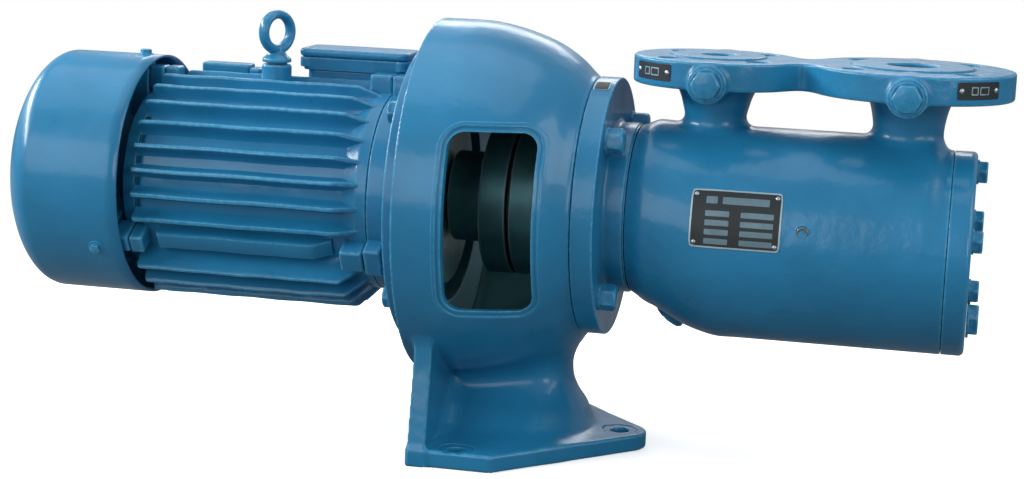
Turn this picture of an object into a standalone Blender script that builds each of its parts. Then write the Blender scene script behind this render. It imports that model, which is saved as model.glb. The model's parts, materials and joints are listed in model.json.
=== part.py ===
"""Three-screw pump: a finned flange motor, a bell bracket with its foot, and a pump with two ports on top."""

import math

import bmesh
import bpy

# Millimetres. X runs along the shaft, measured from the rear face of the bell. Z is measured from the shaft.
SHAFT_HEIGHT = 205.0
ORIGIN_X = 100.0
GAP = 0.3

# Motor
COVER_RIM_X, COVER_WALL_END_X, COVER_END_X = -247.7, -328.0, -368.0
COVER_R, COVER_SHEET = 103.5, 2.0
COVER_HUB_R = 12.0
EAR_ANGLES = (-30.0, 90.0, 210.0)
EAR_HALF_WIDTH, EAR_CENTRE_R = 9.5, 87.5
FIN_COUNT = 8
FIN_ROOT_R, FIN_TIP_R = 79.5, 90.5
LOW_FIN_TIPS = (98.0, 98.0, 100.5, 100.5, 100.5, 100.5, 98.0, 98.0)
STATOR_R = 71.5
SEAM_X, FLANGE_BACK_X = -38.4, -13.2
FLANGE_R = 125.0
SHAFT_R = 14.0
EYE_X, EYE_Z, EYE_RING_R, EYE_WIRE_R = -145.0, 129.0, 15.0, 4.2
EYE_ALONG = (0.486, 0.874)
BOX_X, BOX_Y = (-129.0, -36.0), (17.0, 61.0)

# Bell bracket
BELL_R = 148.5
WALL = 9.0
BASE_TOP = -190.5
FOOT_HOLES = ((50.0, -107.0), (50.0, 107.0), (166.0, 0.0))
FOOT_HOLE_R = 7.3
COLUMN_STRAIGHT_END = 92.0

# Pump
PUMP_SHAFT_R = 12.0
FRONT_FLANGE_R = 107.0
NECK_R = 70.5
UPPER_R = 73.0
BARREL_R, BARREL_Z, BARREL_END_X = 82.6, -18.3, 426.5
END_COVER_X = 445.0
PLATE_TOP, PLATE_LOW, FACE_RISE = 129.5, 107.0, 1.5
BOSS_R, BOSS_Z, BOSS_REACH = 15.7, 112.5, 4.0
PORTS = {
    "discharge": {"x": 233.0, "disc": 68.5, "face": 39.0, "bore": 14.0, "bolts": 50.0, "neck": 25.0},
    "suction": {"x": 388.7, "disc": 81.5, "face": 49.0, "bore": 20.0, "bolts": 62.5, "neck": 28.0},
}
PORT_HOLE_R = 9.0
LABEL_TURN = {"discharge": 222.0, "suction": 308.0}
COUPLING_R = 62.5

PAINTS = {
    "blue_paint": ((0.045, 0.19, 0.36), 0.35, 0.0),
    "dark_casting": ((0.03, 0.06, 0.065), 0.55, 0.6),
    "rubber": ((0.012, 0.012, 0.012), 0.7, 0.0),
    "bare_steel": ((0.55, 0.56, 0.58), 0.3, 1.0),
    "plate": ((0.02, 0.022, 0.025), 0.35, 0.4),
    "plastic": ((0.04, 0.17, 0.32), 0.5, 0.0),
}


def clear_scene():
    for obj in list(bpy.data.objects):
        bpy.data.objects.remove(obj, do_unlink=True)


def material(slot):
    found = bpy.data.materials.get(slot)
    if found:
        return found
    colour, rough, metal = PAINTS[slot]
    made = bpy.data.materials.new(slot)
    made.use_nodes = True
    shader = made.node_tree.nodes["Principled BSDF"]
    shader.inputs["Base Color"].default_value = (*colour, 1.0)
    shader.inputs["Roughness"].default_value = rough
    shader.inputs["Metallic"].default_value = metal
    return made


def solid(name, points, faces, slot="blue_paint"):
    """One closed mesh object, from points in millimetres along and about the shaft."""
    mesh = bpy.data.meshes.new(name)
    moved = [((x - ORIGIN_X) / 1000, y / 1000, (z + SHAFT_HEIGHT) / 1000) for x, y, z in points]
    mesh.from_pydata(moved, [], faces)
    work = bmesh.new()
    work.from_mesh(mesh)
    bmesh.ops.recalc_face_normals(work, faces=work.faces)
    work.to_mesh(mesh)
    work.free()
    obj = bpy.data.objects.new(name, mesh)
    obj.data.materials.append(material(slot))
    bpy.context.scene.collection.objects.link(obj)
    return obj


def loft(name, rings, slot="blue_paint", endless=False):
    """Skins rings of equal length. With endless the last ring joins the first, else both ends are capped."""
    count = len(rings[0])
    points = [p for ring in rings for p in ring]
    faces = []
    spans = len(rings) if endless else len(rings) - 1
    for k in range(spans):
        a, b = k * count, (k + 1) % len(rings) * count
        for i in range(count):
            j = (i + 1) % count
            faces.append((a + i, a + j, b + j, b + i))
    if not endless:
        faces.append(tuple(range(count)))
        faces.append(tuple(range(len(points) - count, len(points))))
    return solid(name, points, faces, slot)


def circle(x, r, seg, cz=0.0):
    turn = [2 * math.pi * i / seg for i in range(seg)]
    return [(x, r * math.cos(t), cz + r * math.sin(t)) for t in turn]


def turned(name, profile, slot="blue_paint", seg=64, cz=0.0):
    """A solid of revolution from (x, radius) pairs that run from one end cap to the other."""
    return loft(name, [circle(x, r, seg, cz) for x, r in profile], slot)


def shell(name, profile, slot="blue_paint", seg=64):
    """A ring-shaped solid about the shaft from a closed (x, radius) profile."""
    return loft(name, [circle(x, r, seg) for x, r in profile], slot, endless=True)


def prism(name, outline, low, high, axis="X", slot="blue_paint"):
    """Extrudes a 2D outline along an axis: (y, z) for X, (x, z) for Y and (x, y) for Z."""
    places = {"X": lambda u, v, w: (w, u, v), "Y": lambda u, v, w: (u, w, v), "Z": lambda u, v, w: (u, v, w)}
    place = places[axis]
    rings = [[place(u, v, w) for u, v in outline] for w in (low, high)]
    return loft(name, rings, slot)


def arc(cu, cv, r, first=0.0, last=360.0, seg=32):
    """Points on a circle, with the last one left out where the arc is a full turn."""
    full = abs(last - first) >= 360.0
    steps = seg if full else seg + 1
    turn = [math.radians(first + (last - first) * i / seg) for i in range(steps)]
    return [(cu + r * math.cos(t), cv + r * math.sin(t)) for t in turn]


def rod(name, axis, cu, cv, r, low, high, slot="blue_paint", seg=32, first=0.0):
    return prism(name, arc(cu, cv, r, first, first + 360.0, seg), low, high, axis, slot)


def rounded(u0, u1, v0, v1, r, seg=6):
    corners = ((u1 - r, v0 + r, -90), (u1 - r, v1 - r, 0), (u0 + r, v1 - r, 90), (u0 + r, v0 + r, 180))
    return [p for cu, cv, a in corners for p in arc(cu, cv, r, a, a + 90, seg)]


def hull(points):
    """The convex outline of 2D points, anticlockwise."""
    points = sorted(set(points))

    def half(row):
        kept = []
        for p in row:
            while len(kept) > 1:
                (ax, ay), (bx, by) = kept[-2], kept[-1]
                if (bx - ax) * (p[1] - ay) - (by - ay) * (p[0] - ax) > 1e-6:
                    break
                kept.pop()
            kept.append(p)
        return kept[:-1]

    return half(points) + half(points[::-1])


def combine(target, others, operation):
    for other in others:
        other.hide_render = True
        other.display_type = "WIRE"
        step = target.modifiers.new(operation.title(), "BOOLEAN")
        step.operation = operation
        step.solver = "EXACT"
        step.object = other
    return target


def join(target, *others):
    return combine(target, others, "UNION")


def cut(target, *others):
    return combine(target, others, "DIFFERENCE")


def polar(angle, r):
    """(y, z) at an angle from the near side (-Y) up towards +Z."""
    t = math.radians(angle)
    return -r * math.cos(t), r * math.sin(t)


def radial(angle, outline):
    """Turns (sideways, outward) points about the shaft, so that outward points along an angle."""
    out = polar(angle, 1.0)
    side = (-out[1], out[0])
    return [(r * out[0] + s * side[0], r * out[1] + s * side[1]) for s, r in outline]


def hex_bolt(name, axis, cu, cv, flats, start, head, shank_r, shank_end, slot="blue_paint", first=0.0):
    """A hexagon head from start over its height, and a shank from its middle to shank_end."""
    corner = flats / math.sqrt(3)
    low, high = sorted((start, start + head))
    bolt = rod(name, axis, cu, cv, corner, low, high, slot, 6, first)
    low, high = sorted((start + head / 2, shank_end))
    return join(bolt, rod(name + "_shank", axis, cu, cv, shank_r, low, high, slot, 12))


def cover_profile(radius, end_x, steps=8):
    """A straight wall, then a quarter of an ellipse down to the hub, as (x, radius)."""
    reach = end_x - COVER_WALL_END_X
    last = math.acos(COVER_HUB_R / radius)
    turn = [last * i / steps for i in range(steps + 1)]
    dome = [(COVER_WALL_END_X + reach * math.sin(t), radius * math.cos(t)) for t in turn]
    return [(COVER_RIM_X, radius)] + dome


def fan_cover():
    """A sheet with a ring of twelve vents in its end."""
    outer = cover_profile(COVER_R, COVER_END_X)
    inner = cover_profile(COVER_R - COVER_SHEET, COVER_END_X + COVER_SHEET)
    cover = shell("fan_cover", outer + inner[::-1], seg=60)
    vents = []
    for i in range(12):
        angle = math.radians(30 * i + 4)
        u, v = math.cos(angle), math.sin(angle)
        across = [(-3.0, 20.0), (3.0, 20.0), (6.0, 46.0), (-6.0, 46.0)]
        outline = [(r * u - t * v, r * v + t * u) for t, r in across]
        vents.append(prism("vent_%02d" % i, outline, COVER_END_X - 12.0, COVER_END_X + 18.0))
    return cut(cover, *vents)


def frame_outline(limit):
    """The finned section: eight fins in each third, taller below, and a low flat pad on each ear line."""
    points = []
    for third in EAR_ANGLES:
        for half in (-1, 1):
            points.append(polar(third + half * 3.8, min(88.0, limit + 2.0)))
        for k in range(FIN_COUNT):
            middle = third + 120.0 / (FIN_COUNT + 1) * (k + 1)
            tip = min(limit, LOW_FIN_TIPS[k] if third == EAR_ANGLES[2] else FIN_TIP_R)
            for offset, r in ((-3.4, FIN_ROOT_R), (-1.1, tip), (1.1, tip), (3.4, FIN_ROOT_R)):
                points.append(polar(middle + offset, r))
    return points


def motor_frame():
    stations = ((-243.0, 86.0), (-240.0, 110.0), (-64.0, 110.0), (-44.0, 84.5), (-38.8, 84.5))
    rings = [[(x, y, z) for y, z in frame_outline(limit)] for x, limit in stations]
    frame = loft("motor_frame", rings)
    extras = [rod("eye_boss", "Z", EYE_X, 0.0, 12.5, 70.0, 101.5)]
    for n, angle in enumerate(EAR_ANGLES):
        for m, (low, high) in enumerate(((-243.2, -232.0), (-60.0, -38.9))):
            extras.append(prism("frame_ear_%d%d" % (n, m), ear_outline(angle), low, high))
    extras.append(prism("box_seat", rounded(-125.0, -42.0, 22.0, 56.0, 6.0), 40.0, 96.2, "Z"))
    extras.append(prism("frame_pad", rounded(-232.0, -188.0, 48.0, 68.0, 4.0), 50.0, 94.5, "Z"))
    join(frame, *extras)
    bore = rod("frame_bore", "X", 0, 0, STATOR_R + 0.5, -260.0, -20.0, seg=64)
    return cut(frame, bore, rod("eye_hole", "Z", EYE_X, 0, 5.3, 88.0, 120.0, seg=16))


def ear_outline(angle):
    """A lug on the motor's rim, round-topped."""
    top = arc(0.0, EAR_CENTRE_R, EAR_HALF_WIDTH, 0, 180, 8)
    return radial(angle, [(-EAR_HALF_WIDTH, 74.0), (EAR_HALF_WIDTH, 74.0)] + top)


def rear_shield():
    profile = [(-276.0, 34.0), (-264.0, 38.0), (-258.0, 74.0), (-254.0, 80.0), (-243.5, 81.5)]
    rear = turned("nde_shield", profile + [(-243.5, STATOR_R), (-236.0, STATOR_R)])
    join(rear, *[prism("nde_ear_%d" % n, ear_outline(a), -254.0, -243.6) for n, a in enumerate(EAR_ANGLES)])
    seat_top = COVER_R - COVER_SHEET - 0.8
    seat = [(-8.0, 55.0), (8.0, 55.0), (8.0, seat_top), (-8.0, seat_top)]
    seats = [prism("cover_seat_%d" % n, radial(a, seat), -280.0, -253.0) for n, a in enumerate(EAR_ANGLES)]
    join(rear, *seats)
    cut(rear, rod("nde_bore", "X", 0, 0, SHAFT_R + GAP, -300.0, -200.0))


def front_shield():
    """The drive-end shield: a barrel, the motor's flange, and a boss that shows inside the bell."""
    profile = [(-46.0, STATOR_R), (SEAM_X, STATOR_R), (SEAM_X, 84.0), (FLANGE_BACK_X, 84.0)]
    profile += [(FLANGE_BACK_X, FLANGE_R), (-GAP, FLANGE_R), (-GAP, 89.5), (4.5, 89.5)]
    profile += [(4.5, 76.0), (12.5, 76.0)]
    front = turned("de_shield", profile)
    join(front, *[prism("de_ear_%d" % n, ear_outline(a), -38.5, -20.0) for n, a in enumerate(EAR_ANGLES)])
    cut(front, rod("de_bore", "X", 0, 0, SHAFT_R + GAP, -60.0, 30.0))


def eye_bolt():
    """A ring of round section, carried round its circle, on a collar and a shank."""
    rings = []
    for i in range(24):
        t = 2 * math.pi * i / 24
        ring = []
        for j in range(10):
            s = 2 * math.pi * j / 10
            r = EYE_RING_R + EYE_WIRE_R * math.cos(s)
            flat, depth = r * math.cos(t), EYE_WIRE_R * math.sin(s)
            x = EYE_X + flat * EYE_ALONG[0] - depth * EYE_ALONG[1]
            y = flat * EYE_ALONG[1] + depth * EYE_ALONG[0]
            ring.append((x, y, EYE_Z + r * math.sin(t)))
        rings.append(ring)
    ring = loft("eye_bolt", rings, endless=True)
    collar = rod("eye_collar", "Z", EYE_X, 0.0, 12.2, 102.2, 112.0, seg=24)
    join(ring, collar, rod("eye_shank", "Z", EYE_X, 0.0, 4.0, 89.5, 106.0, seg=16))


def terminal_box():
    """A shallow box and its lid on a seat behind the fins. The cable gland is on its far side."""
    (x0, x1), (y0, y1) = BOX_X, BOX_Y
    prism("terminal_box", rounded(x0, x1, y0, y1, 6.0), 96.5, 107.7, "Z")
    prism("terminal_box_lid", rounded(x0 - 2, x1 + 2, y0 - 2, y1 + 2, 7.0), 108.0, 115.5, "Z")
    hex_bolt("cable_gland", "Y", -84.0, 102.1, 9.6, y1 + GAP, 9.0, 3.6, y1 + 22.0, "plastic")


def bell_profile():
    shoulder = [(57.0, 145.8), (68.0, 143.5), (78.0, 140.5), (89.0, 136.8), (99.0, 132.5), (109.0, 126.8)]
    nose = [(120.0, 119.0), (128.0, 111.0), (133.0, 106.5), (135.2, 105.8)]
    return [(0.0, BELL_R), (40.0, BELL_R)] + shoulder + nose


def waist(z, reach, half, low=18.0):
    """One level of the foot's column: straight sides, then a rounded end that reaches towards the pump."""
    quarter = [math.radians(90 * i / 8) for i in range(9)]
    length = reach - COLUMN_STRAIGHT_END
    nose = [(COLUMN_STRAIGHT_END + length * math.sin(t), -half * math.cos(t)) for t in quarter]
    side = [(low, -half), (low + 20, -half), (low + 45, -half)] + nose
    return [(x, y, z) for x, y in side + [(x, -y) for x, y in reversed(side[:-1])]]


def foot_pieces():
    """The base plate, the rib at its rear and the waisted column, all joined to the bell later."""
    plan = [p for s in (-1, 1) for p in arc(79.0, 114.0 * s, 7.0, seg=32)] + arc(166.0, 0.0, 22.5, seg=32)
    base = prism("base_plate", hull(plan + [(12.0, -121.5), (12.0, 121.5)]), -SHAFT_HEIGHT, BASE_TOP, "Z")
    side = [(121.3, -198.0), (117.0, -168.7), (112.5, -145.0), (108.5, -121.0), (107.5, -98.0), (92.0, -88.0)]
    rib = prism("rear_rib", [(-y, z) for y, z in side] + side[::-1], 12.0, 27.0)
    levels = ((-198.0, 148.0, 84.0), (-191.0, 147.0, 80.0), (-187.0, 142.5, 73.0), (-182.0, 140.0, 65.0))
    levels += ((-176.0, 138.0, 59.0), (-169.0, 134.8, 55.0), (-164.0, 131.5, 47.0), (-158.0, 128.0, 40.0))
    levels += ((-149.0, 124.5, 34.5), (-139.0, 123.2, 33.0), (-129.0, 123.3, 35.0), (-120.0, 124.5, 40.0))
    levels += ((-112.0, 127.0, 47.0), (-98.0, 131.0, 58.0))
    return base, rib, loft("column", [waist(*level) for level in levels])


def bell_housing():
    bell = turned("bell_housing", bell_profile(), seg=80)
    join(bell, *foot_pieces())
    inside = [(x, r - WALL) for x, r in bell_profile()[1:9]]
    cavity = [(-5.0, 90.0), (16.0, 90.0), (16.0, BELL_R - WALL)] + inside
    cavity += [(121.0, 108.0), (121.0, 70.0), (140.0, 70.0)]
    hollow = turned("bell_cavity", cavity, seg=80)
    window = prism("windows", rounded(41.0, 109.0, -73.0, 71.0, 13.0), -200.0, 200.0, "Y")
    holes = []
    for n, (x, y) in enumerate(FOOT_HOLES):
        holes.append(rod("foot_hole_%d" % n, "Z", x, y, FOOT_HOLE_R, -220.0, -180.0, seg=24))
    cut(bell, hollow, window, *holes)


def barrel_profile():
    """(x, centre height, radius) of the barrel, which starts on the shaft's line and grows downwards."""
    start = [(172.3, 0.0, 69.0), (180.0, -1.5, 70.5), (190.0, -4.5, 73.0), (200.0, -8.5, 76.0)]
    start += [(214.0, -13.5, 79.0), (230.0, -17.0, 81.5)]
    return start + [(245.0, BARREL_Z, BARREL_R), (BARREL_END_X, BARREL_Z, BARREL_R)]


def port_pieces(port):
    """What a port adds to the barrel (disc, raised face, neck and boss) and the holes it takes away."""
    x, disc, face = PORTS[port]["x"], PORTS[port]["disc"], PORTS[port]["face"]
    added = [rod(port + "_disc", "Z", x, 0.0, disc, PLATE_LOW, PLATE_TOP, seg=72)]
    added.append(rod(port + "_face", "Z", x, 0.0, face, PLATE_LOW + 5, PLATE_TOP + FACE_RISE, seg=48))
    neck = PORTS[port]["neck"]
    radii = ((30.0, neck), (82.0, neck), (92.0, neck + 2.0), (100.0, neck + 5.0), (PLATE_LOW + 5, neck + 7.5))
    added.append(loft(port + "_neck", [[(u, v, z) for u, v in arc(x, 0.0, r, seg=40)] for z, r in radii]))
    reach = disc + BOSS_REACH
    added.append(rod(port + "_boss", "Y", x, BOSS_Z, BOSS_R, -reach, reach, seg=28))
    taken = [rod(port + "_bore", "Z", x, 0.0, PORTS[port]["bore"], 20.0, 150.0, seg=40)]
    for n in range(4):
        t = math.radians(45 + 90 * n)
        u, v = x + PORTS[port]["bolts"] * math.cos(t), PORTS[port]["bolts"] * math.sin(t)
        taken.append(rod("%s_hole_%d" % (port, n), "Z", u, v, PORT_HOLE_R, 80.0, 150.0, seg=20))
    for side in (-1, 1):
        deep, clear = side * (disc - 12.0), side * (disc + 20.0)
        taken.append(rod("%s_tap_%d" % (port, side), "Y", x, BOSS_Z, 6.6, deep, clear, seg=16))
    return added, taken


def pump_body():
    body = loft("pump_body", [circle(x, r, 72, cz) for x, cz, r in barrel_profile()])
    upper = rod("upper_tube", "X", 0.0, 0.0, UPPER_R, 186.0, 413.0, seg=72)
    between = rounded(PORTS["discharge"]["x"], PORTS["suction"]["x"], -27, 27, 2)
    added = [upper, prism("plate_web", between, PLATE_LOW, PLATE_TOP, "Z")]
    taken = [rod("pump_shaft_bore", "X", 0, 0, 18.0, 150.0, 190.0)]
    for port in PORTS:
        more, less = port_pieces(port)
        added += more
        taken += less
    join(body, *added)
    taken.append(rod("drain_tap", "Y", 317.5, 5.5, 5.2, -110.0, -74.0, seg=16))
    cut(body, *taken)


def covers():
    """The front cover with its flange, and the flat end cover with the relief plug's hole."""
    flange = [(135.5, 69.6), (135.5, FRONT_FLANGE_R), (153.8, FRONT_FLANGE_R), (153.8, NECK_R)]
    front = turned("pump_front_cover", [(124.0, 69.6)] + flange + [(172.0, NECK_R)], seg=72)
    cut(front, rod("front_bore", "X", 0, 0, PUMP_SHAFT_R + GAP, 100.0, 200.0))
    edge = [(BARREL_END_X + GAP, BARREL_R), (440.5, BARREL_R), (443.5, BARREL_R - 1.2)]
    end = turned("end_cover", edge + [(END_COVER_X, BARREL_R - 4.5)], seg=72, cz=BARREL_Z)
    cut(end, rod("relief_hole", "X", 0.0, -72.0, 8.4, 420.0, 460.0, seg=20))


def plugs():
    for port, sizes in PORTS.items():
        for side, word in ((-1, "near"), (1, "far")):
            seat, deep = side * (sizes["disc"] + BOSS_REACH + GAP), side * (sizes["disc"] - 8.0)
            name = "gauge_plug_%s_%s" % (port, word)
            hex_bolt(name, "Y", sizes["x"], BOSS_Z, 20.5, seat, side * 8.0, 6.2, deep, first=30)
    plug = rod("drain_plug", "Y", 317.5, 5.5, 4.8, -82.4, -75.0, seg=24)
    cut(plug, rod("drain_socket", "Y", 317.5, 5.5, 2.9, -95.0, -79.0, seg=6))
    hex_bolt("relief_plug", "X", 0.0, -72.0, 24.0, END_COVER_X + GAP, 9.5, 8.0, 430.0)


def arc_yz(r, low, high, seg=12):
    """Points on the barrel's near side between two heights, (y, z)."""
    a, b = math.asin((low - BARREL_Z) / r), math.asin((high - BARREL_Z) / r)
    turn = [a + (b - a) * i / seg for i in range(seg + 1)]
    return [(-r * math.cos(t), BARREL_Z + r * math.sin(t)) for t in turn]


def label_plates():
    label = []
    for x in (226.5, 298.5):
        near = [(x, y, z) for y, z in arc_yz(BARREL_R + GAP, -14.5, 28.5)]
        out = [(x, y, z) for y, z in reversed(arc_yz(BARREL_R + 1.1, -14.5, 28.5))]
        label.append(near + out)
    loft("nameplate", label, "plate")
    for port, turn in LABEL_TURN.items():
        x, r = PORTS[port]["x"], PORTS[port]["disc"]
        half = math.degrees(17.0 / r)
        inner = arc(x, 0.0, r + GAP, turn - half, turn + half, 8)
        outer = arc(x, 0.0, r + 1.0, turn - half, turn + half, 8)
        prism("port_label_" + port, inner + outer[::-1], 112.5, 125.5, "Z", "plate")


def motor_rotor():
    steps = [(-336.0, 10.0), (-300.0, 10.0), (-300.0, SHAFT_R), (46.0, SHAFT_R)]
    turned("motor_shaft", steps, "bare_steel", 32)
    core = turned("rotor_core", [(-200.0, 44.0), (-80.0, 44.0)], "dark_casting", 48)
    cut(core, rod("rotor_bore", "X", 0, 0, SHAFT_R + GAP, -220.0, -60.0, seg=32))
    stator = turned("stator_core", [(-205.0, STATOR_R + 0.2), (-75.0, STATOR_R + 0.2)], "dark_casting", 64)
    cut(stator, rod("stator_bore", "X", 0, 0, 50.0, -220.0, -60.0, seg=48))


def cooling_fan():
    hub = [(-336.0, 20.0), (-306.0, 22.0), (-306.0, 80.0), (-303.0, 80.0), (-303.0, 22.0), (-300.5, 22.0)]
    fan = turned("cooling_fan", hub, "plastic", 48)
    blades = []
    for n in range(7):
        t = 2 * math.pi * n / 7
        corners = [(-1.5, 18.0), (1.5, 18.0), (1.5, 79.0), (-1.5, 79.0)]
        outline = [(r * math.cos(t) - w * math.sin(t), r * math.sin(t) + w * math.cos(t)) for w, r in corners]
        blades.append(prism("blade_%d" % n, outline, -332.0, -304.5))
    join(fan, *blades)
    cut(fan, rod("fan_bore", "X", 0, 0, 10.3, -340.0, -298.0, seg=24))


def coupling():
    motor_half = [(18.0, 38.0), (50.0, 38.0), (50.0, COUPLING_R), (72.6, COUPLING_R)]
    motor_half = turned("coupling_motor_half", motor_half, "dark_casting")
    cut(motor_half, rod("motor_half_bore", "X", 0, 0, SHAFT_R + GAP, 0.0, 46.4))
    turned("coupling_element", [(72.9, 56.0), (75.5, 56.0)], "rubber", 48)
    pump_half = [(75.8, COUPLING_R), (96.0, COUPLING_R), (96.0, 36.0), (116.0, 36.0)]
    pump_half = turned("coupling_pump_half", pump_half, "dark_casting")
    cut(pump_half, rod("pump_half_bore", "X", 0, 0, PUMP_SHAFT_R + GAP, 85.0, 130.0))
    turned("pump_shaft", [(85.4, PUMP_SHAFT_R), (182.0, PUMP_SHAFT_R)], "bare_steel", 32)


clear_scene()
fan_cover()
motor_frame()
rear_shield()
front_shield()
eye_bolt()
terminal_box()
bell_housing()
pump_body()
covers()
plugs()
label_plates()
motor_rotor()
cooling_fan()
coupling()
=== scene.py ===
# %% [markdown]
# A three-screw oil pump with its motor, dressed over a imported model. The pump is a cast barrel with
# two ports on top, a bell bracket carries it on one foot, and a finned motor hangs on the bracket's
# other side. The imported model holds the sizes, and everything made below only covers it. Lengths
# are millimetres: x runs along the shaft from the bell's rear face, y runs away from the side with
# the nameplate, and z is measured from the shaft. One function turns them to metres.

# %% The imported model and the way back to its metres
import json
from collections import namedtuple

import bmesh
import bpy
import numpy as np
from mathutils import Matrix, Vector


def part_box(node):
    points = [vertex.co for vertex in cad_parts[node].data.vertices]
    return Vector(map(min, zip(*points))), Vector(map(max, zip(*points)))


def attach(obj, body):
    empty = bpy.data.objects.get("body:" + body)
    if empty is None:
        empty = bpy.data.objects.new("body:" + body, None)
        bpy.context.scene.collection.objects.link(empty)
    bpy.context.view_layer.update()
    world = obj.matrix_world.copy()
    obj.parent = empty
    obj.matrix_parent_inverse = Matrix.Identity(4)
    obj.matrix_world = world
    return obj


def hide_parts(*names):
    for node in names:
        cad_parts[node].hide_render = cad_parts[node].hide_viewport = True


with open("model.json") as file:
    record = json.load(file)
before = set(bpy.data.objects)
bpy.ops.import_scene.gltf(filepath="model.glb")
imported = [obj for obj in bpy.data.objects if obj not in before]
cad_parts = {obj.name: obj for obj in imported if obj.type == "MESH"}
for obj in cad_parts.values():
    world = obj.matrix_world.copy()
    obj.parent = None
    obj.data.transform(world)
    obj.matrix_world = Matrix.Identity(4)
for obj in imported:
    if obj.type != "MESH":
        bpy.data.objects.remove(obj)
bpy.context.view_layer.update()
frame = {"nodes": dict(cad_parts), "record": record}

REAR_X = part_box("bell_housing")[0][0]
AXIS_Z = (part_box("motor_shaft")[0][2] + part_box("motor_shaft")[1][2]) / 2


def metres(points):
    """Millimetres from the bell's rear face and the shaft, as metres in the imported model's own frame."""
    return np.asarray(points, float) / 1000 + (REAR_X, 0.0, AXIS_Z)


def span(node, axis):
    """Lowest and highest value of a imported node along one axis, in the same millimetres."""
    offset = (REAR_X, 0.0, AXIS_Z)[axis]
    low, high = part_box(node)
    return (low[axis] - offset) * 1000, (high[axis] - offset) * 1000


print("rear face at", round(REAR_X, 4), "m, shaft", round(AXIS_Z, 4), "m above the floor")

# %% [markdown]
# Glossy enamel on cast iron is never one flat colour. The coat pulls thin over convex edges and
# looks paler there, and the same paleness also serves as a painted highlight along the edges.
# Corners are made darker as painted shade, and the casting's skin shows through as a faint ripple.
# Wear could be painted by hand on an image. Here a number stored at each vertex says how strongly
# the surface bends, and the shader reads it, so the wear, the painted highlight and the painted
# shade follow the shape whenever the shape changes. These are the nodes that every finish is put
# together from.

# %% Shader building blocks
EDGE_MARK = "bend"


def shader(name, colour, rough, metal=0.0, coat=0.0):
    """A new material. What is the same all over stays on the main shader's own sockets."""
    material = bpy.data.materials.new(name)
    material.use_nodes = True
    main = material.node_tree.nodes["Principled BSDF"]
    main.inputs["Base Color"].default_value = (*colour, 1.0)
    main.inputs["Roughness"].default_value = rough
    main.inputs["Metallic"].default_value = metal
    main.inputs["Coat Weight"].default_value = coat
    main.inputs["Coat Roughness"].default_value = 0.12
    return material, main


def noise(material, scale, detail=3.0, stretch=(1.0, 1.0, 1.0)):
    """A noise texture on the piece's own coordinates. Scale is in cycles per metre."""
    nodes, links = material.node_tree.nodes, material.node_tree.links
    place = nodes.new("ShaderNodeTexCoord")
    mapping = nodes.new("ShaderNodeMapping")
    mapping.inputs["Scale"].default_value = stretch
    texture = nodes.new("ShaderNodeTexNoise")
    texture.inputs["Scale"].default_value = scale
    texture.inputs["Detail"].default_value = detail
    links.new(place.outputs["Object"], mapping.inputs["Vector"])
    links.new(mapping.outputs["Vector"], texture.inputs["Vector"])
    return texture.outputs["Fac"]


def remap(material, value, low, high, out_low=0.0, out_high=1.0):
    """Carries a value from one range to another, and clamps it there."""
    node = material.node_tree.nodes.new("ShaderNodeMapRange")
    material.node_tree.links.new(value, node.inputs["Value"])
    for socket, number in zip(("From Min", "From Max", "To Min", "To Max"), (low, high, out_low, out_high)):
        node.inputs[socket].default_value = number
    return node.outputs["Result"]


def multiply(material, a, b):
    """One value times another, each of them a constant or the output of another node."""
    node = material.node_tree.nodes.new("ShaderNodeMath")
    node.operation = "MULTIPLY"
    for socket, value in zip(node.inputs, (a, b)):
        if isinstance(value, float):
            socket.default_value = value
        else:
            material.node_tree.links.new(value, socket)
    return node.outputs["Value"]


def mix_colour(material, factor, a, b, mode="MIX"):
    """Mixes two colours, each of them a constant or the output of another node."""
    node = material.node_tree.nodes.new("ShaderNodeMix")
    node.data_type = "RGBA"
    node.blend_type = mode
    links = material.node_tree.links
    if isinstance(factor, float):
        node.inputs["Factor"].default_value = factor
    else:
        links.new(factor, node.inputs["Factor"])
    for socket, value in ((node.inputs[6], a), (node.inputs[7], b)):
        if isinstance(value, tuple):
            socket.default_value = (*value, 1.0)
        else:
            links.new(value, socket)
    return node.outputs[2]


def bend(material):
    """The vertex number that is above zero on outer edges and below zero in corners."""
    node = material.node_tree.nodes.new("ShaderNodeAttribute")
    node.attribute_name = EDGE_MARK
    return node.outputs["Fac"]


def bumps(material, main, layers):
    """Stacks bump layers of (height, strength, depth in metres) and links them to the shader's normal."""
    last = None
    for height, strength, depth in layers:
        node = material.node_tree.nodes.new("ShaderNodeBump")
        node.inputs["Strength"].default_value = strength
        node.inputs["Distance"].default_value = depth
        material.node_tree.links.new(height, node.inputs["Height"])
        if last is not None:
            material.node_tree.links.new(last, node.inputs["Normal"])
        last = node.outputs["Normal"]
    material.node_tree.links.new(last, main.inputs["Normal"])
    if main.inputs["Coat Weight"].default_value > 0:
        material.node_tree.links.new(last, main.inputs["Coat Normal"])

# %% [markdown]
# The paint is one blue with a thin clear coat over it. Three things vary on it: broad patches of a
# deeper blue, paleness on outer edges that a fine noise breaks up, which is paint wear and a
# painted highlight at once, and painted shade in the corners. A photographed texture could carry
# all three, but each piece would have to be unwrapped for it.
# Noise on the object's own coordinates is counted in cycles per metre, so it has the same size on
# every piece.

# %% Enamel, in a smooth and a sand-cast version
PAINT = (0.016, 0.198, 0.385)
# Pale colour of paint wear on outer edges, and of the painted highlight along them.
PAINT_PALE = (0.12, 0.46, 0.66)
# PAINT_DEEP colours the random patches, and the painted shade in the corners.
PAINT_DEEP = (0.006, 0.090, 0.180)
PATCH_NOISE, GLOSS_NOISE, RIPPLE_NOISE, CHIP_NOISE, PEEL_NOISE = 14.0, 38.0, 45.0, 260.0, 420.0
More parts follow.
